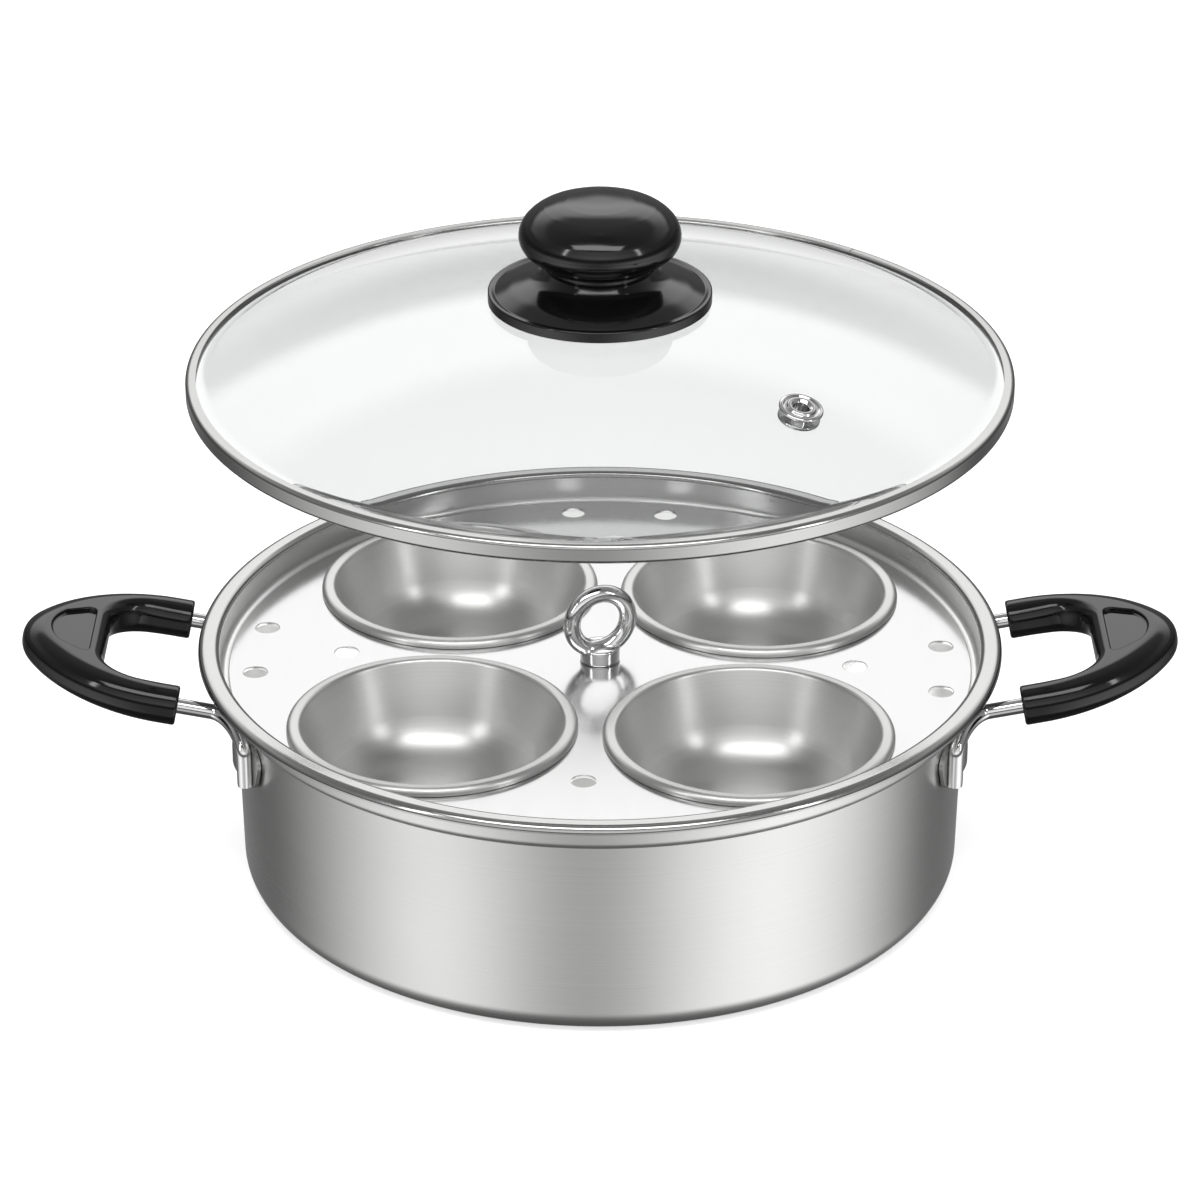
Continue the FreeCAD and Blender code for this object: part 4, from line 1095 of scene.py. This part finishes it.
# Brightness of the world that lights the object, of the studio that steel mirrors, and of the floor's own glow
FILL, MIRRORED, FLOOR_GLOW = 0.8, 2.2, 0.4

# Each lamp: name, place, the point it faces, width, height, watts, whether steel mirrors it, and its shape.
# The dim one inside the pan keeps the steam holes pale.
LAMPS = (
    ("softbox_over", (0.0, 0.4, 1.3), (0, 0, 0.15), 1.2, 0.8, 3.0, False, "RECTANGLE"),
    ("softbox_left", (-1.1, -0.9, 0.8), (0, 0, 0.12), 0.12, 0.7, 2.0, True, "RECTANGLE"),
    ("softbox_right", (1.2, -0.8, 0.7), (0, 0, 0.12), 0.12, 0.7, 2.0, True, "RECTANGLE"),
    ("softbox_front", (-0.05, -0.6, 1.15), (0, 0, 0.12), 1.2, 0.4, 7.0, True, "RECTANGLE"),
    ("lamp_in_pan", (0.0, 0.0, 0.004), (0, 0, 0.1), 0.224, 0.224, 0.24, True, "DISK"))

# The studio as the steel sees it, from the floor to overhead: height of each change, half its width, and the
# brightness by bearing in degrees from the front. Each list starts with the two ends of the bearings.
STUDIO_TONES = (
    (-1.0, 0.0, [(-180, 0.04), (180, 0.04), (0, 0.04)]),
    (-0.68, 0.1, [(-180, 0.19), (180, 0.19), (-130, 0.0), (-102, 0.18), (-78, 0.43), (-53, 0.71), (-28, 0.44),
                  (-2, 0.15), (24, 0.55), (53, 0.87), (85, 0.5), (108, 0.22), (128, 0.0)]),
    (-0.2, 0.1, [(-180, 0.1), (180, 0.1), (-130, 0.02), (-60, 0.06), (0, 0.05), (60, 0.06), (130, 0.02)]),
    (0.08, 0.08, [(-180, 0.12), (180, 0.12), (-130, 0.08), (-75, 0.1), (-40, 0.4), (0, 0.65), (40, 0.4), (75, 0.1),
                  (130, 0.08)]),
    (0.35, 0.05, [(-180, 0.82), (180, 0.82), (-155, 0.74), (-130, 0.28), (-75, 0.05), (-40, 0.3), (0, 0.5),
                  (40, 0.3), (75, 0.05), (130, 0.28), (155, 0.74)]),
    (0.64, 0.06, [(-180, 0.2), (180, 0.2), (-90, 0.1), (0, 0.05), (90, 0.1)]))


def softbox(name, place, aim, width, height, watts, mirrored, shape):
    """A flat lamp that faces a point; it isn't seen itself, but polished steel may mirror it."""
    lamp = bpy.data.lights.new(name, "AREA")
    lamp.shape = shape
    lamp.size, lamp.size_y, lamp.energy = width, height, watts
    holder = bpy.data.objects.new(name, lamp)
    bpy.context.scene.collection.objects.link(holder)
    holder.location = place
    holder.rotation_euler = (Vector(aim) - Vector(place)).to_track_quat("-Z", "Y").to_euler()
    holder.visible_camera = False
    holder.visible_transmission = False
    holder.visible_glossy = mirrored


def studio_world(scene):
    """White to the eye and through glass; in the steel, that white with the studio's dim sides and dark front."""
    world = bpy.data.worlds.new("studio")
    world.use_nodes = True
    tree = world.node_tree
    tree.nodes.clear()
    way = put(tree, "ShaderNodeTexCoord").outputs["Generated"]
    parts = put(tree, "ShaderNodeSeparateXYZ", {0: way})
    front = put(tree, "ShaderNodeMath", {0: parts.outputs["Y"], 1: -1.0}, operation="MULTIPLY").outputs["Value"]
    bearing = put(tree, "ShaderNodeMath", {0: parts.outputs["X"], 1: front}, operation="ARCTAN2").outputs["Value"]
    share = put(tree, "ShaderNodeMapRange", {"Value": bearing, "From Min": -math.pi, "From Max": math.pi})
    tone = None
    for height, span, stops in STUDIO_TONES:
        ramp = put(tree, "ShaderNodeValToRGB", {"Fac": share.outputs["Result"]})
        ramp.color_ramp.interpolation = "B_SPLINE"
        elements = ramp.color_ramp.elements
        for degrees, _ in stops[2:]:
            elements.new(degrees / 360 + 0.5)
        for element, (degrees, level) in zip(elements, sorted(stops)):
            element.position = degrees / 360 + 0.5
            element.color = (level, level, level, 1)
        if tone is None:
            tone = ramp.outputs["Color"]
            continue
        rise = put(tree, "ShaderNodeMapRange", {"Value": parts.outputs["Z"], "From Min": height - span,
                                                "From Max": height + span}, interpolation_type="SMOOTHSTEP")
        tone = put(tree, "ShaderNodeMix", {"Factor": rise.outputs["Result"], "A": tone, "B": ramp.outputs["Color"]},
                   data_type="RGBA").outputs["Result"]
    ray = put(tree, "ShaderNodeLightPath")
    fill = put(tree, "ShaderNodeBackground", {"Color": WHITE, "Strength": FILL})
    studio = put(tree, "ShaderNodeBackground", {"Color": tone, "Strength": MIRRORED})
    white = put(tree, "ShaderNodeBackground", {"Color": WHITE, "Strength": 1.0})
    gloss = put(tree, "ShaderNodeMixShader", {0: ray.outputs["Is Glossy Ray"], 1: fill.outputs["Background"],
                                              2: studio.outputs["Background"]})
    seen = put(tree, "ShaderNodeMath", {0: ray.outputs["Is Camera Ray"], 1: ray.outputs["Is Transmission Ray"]},
               operation="MAXIMUM")
    pick = put(tree, "ShaderNodeMixShader", {0: seen.outputs["Value"], 1: gloss.outputs["Shader"],
                                             2: white.outputs["Background"]})
    put(tree, "ShaderNodeOutputWorld", {"Surface": pick.outputs["Shader"]})
    scene.world = world


class POACHER_OT_stage(bpy.types.Operator):
    """Set the floor, the lamps, the world and the camera"""
    bl_idname = "poacher.stage"
    bl_label = "Stage"

    def execute(self, context):
        scene = context.scene
        sizes = scene.poacher.stage
        scene.view_settings.view_transform = "Standard"
        half = sizes.floor_width / 2
        bm = bmesh.new()
        bm.faces.new([bm.verts.new((x * half, y * half, 0)) for x, y in ((-1, -1), (1, -1), (1, 1), (-1, 1))])
        floor = loose("floor", finished(bm, "floor"))
        material, tree = new_finish("studio_floor")
        ray = put(tree, "ShaderNodeLightPath")
        matt = put(tree, "ShaderNodeBsdfDiffuse", {"Color": (*sizes.floor, 1)})
        glow = put(tree, "ShaderNodeEmission", {"Color": WHITE, "Strength": FLOOR_GLOW})
        lifted = put(tree, "ShaderNodeAddShader", {0: matt.outputs["BSDF"], 1: glow.outputs["Emission"]})
        seen = put(tree, "ShaderNodeMath", {0: ray.outputs["Is Camera Ray"], 1: ray.outputs["Is Transmission Ray"]},
                   operation="MAXIMUM")
        pick = put(tree, "ShaderNodeMixShader", {0: seen.outputs["Value"], 1: matt.outputs["BSDF"],
                                                 2: lifted.outputs["Shader"]})
        put(tree, "ShaderNodeOutputMaterial", {"Surface": pick.outputs["Shader"]})
        floor.data.materials.append(material)
        floor.visible_glossy = False
        for lamp in LAMPS:
            softbox(*lamp)
        studio_world(scene)
        camera = bpy.data.cameras.new("camera")
        holder = bpy.data.objects.new("camera", camera)
        scene.collection.objects.link(holder)
        aim = Vector((0, 0, sizes.aim_height))
        back = Vector((0, -math.cos(sizes.elevation), math.sin(sizes.elevation)))
        holder.location = aim + back * sizes.distance
        holder.rotation_euler = (-back).to_track_quat("-Z", "Y").to_euler()
        camera.sensor_width = 36.0
        camera.lens = camera.sensor_width * sizes.distance / sizes.view_width
        camera.clip_end = 4 * sizes.distance
        scene.camera = holder
        return {"FINISHED"}


OPERATORS = (POACHER_OT_pan, POACHER_OT_grips, POACHER_OT_rods, POACHER_OT_weld_plates, POACHER_OT_plate,
             POACHER_OT_cups, POACHER_OT_lifting_eye, POACHER_OT_lid_glass, POACHER_OT_lid_band, POACHER_OT_knob,
             POACHER_OT_knob_fixings, POACHER_OT_vent, POACHER_OT_stage)


class POACHER_PT_panel(bpy.types.Panel):
    """Lists the pieces, sizes and colours of the egg poacher pan"""
    bl_idname = "POACHER_PT_panel"
    bl_label = "Egg poacher pan"
    bl_space_type = "VIEW_3D"
    bl_region_type = "UI"
    bl_category = "Poacher"

    def draw(self, context):
        for operator in OPERATORS:
            self.layout.operator(operator.bl_idname)
        for group in ("pan", "handles", "insert", "lid", "finishes", "stage"):
            settings = getattr(context.scene.poacher, group)
            box = self.layout.box()
            for name in settings.__annotations__:
                box.prop(settings, name)


CLASSES = (PanSizes, HandleSizes, InsertSizes, LidSizes, Finishes, StageSizes, PoacherSettings, *OPERATORS,
           POACHER_PT_panel)


def register():
    for entry in CLASSES:
        bpy.utils.register_class(entry)
    bpy.types.Scene.poacher = PointerProperty(type=PoacherSettings, name="Egg poacher pan",
                                              description="Sizes and colours of the egg poacher pan")


def unregister():
    del bpy.types.Scene.poacher
    for entry in reversed(CLASSES):
        bpy.utils.unregister_class(entry)


def main():
    register()
    for operator in OPERATORS:
        getattr(bpy.ops.poacher, operator.bl_idname.split(".")[1])()


if __name__ == "__main__":
    main()
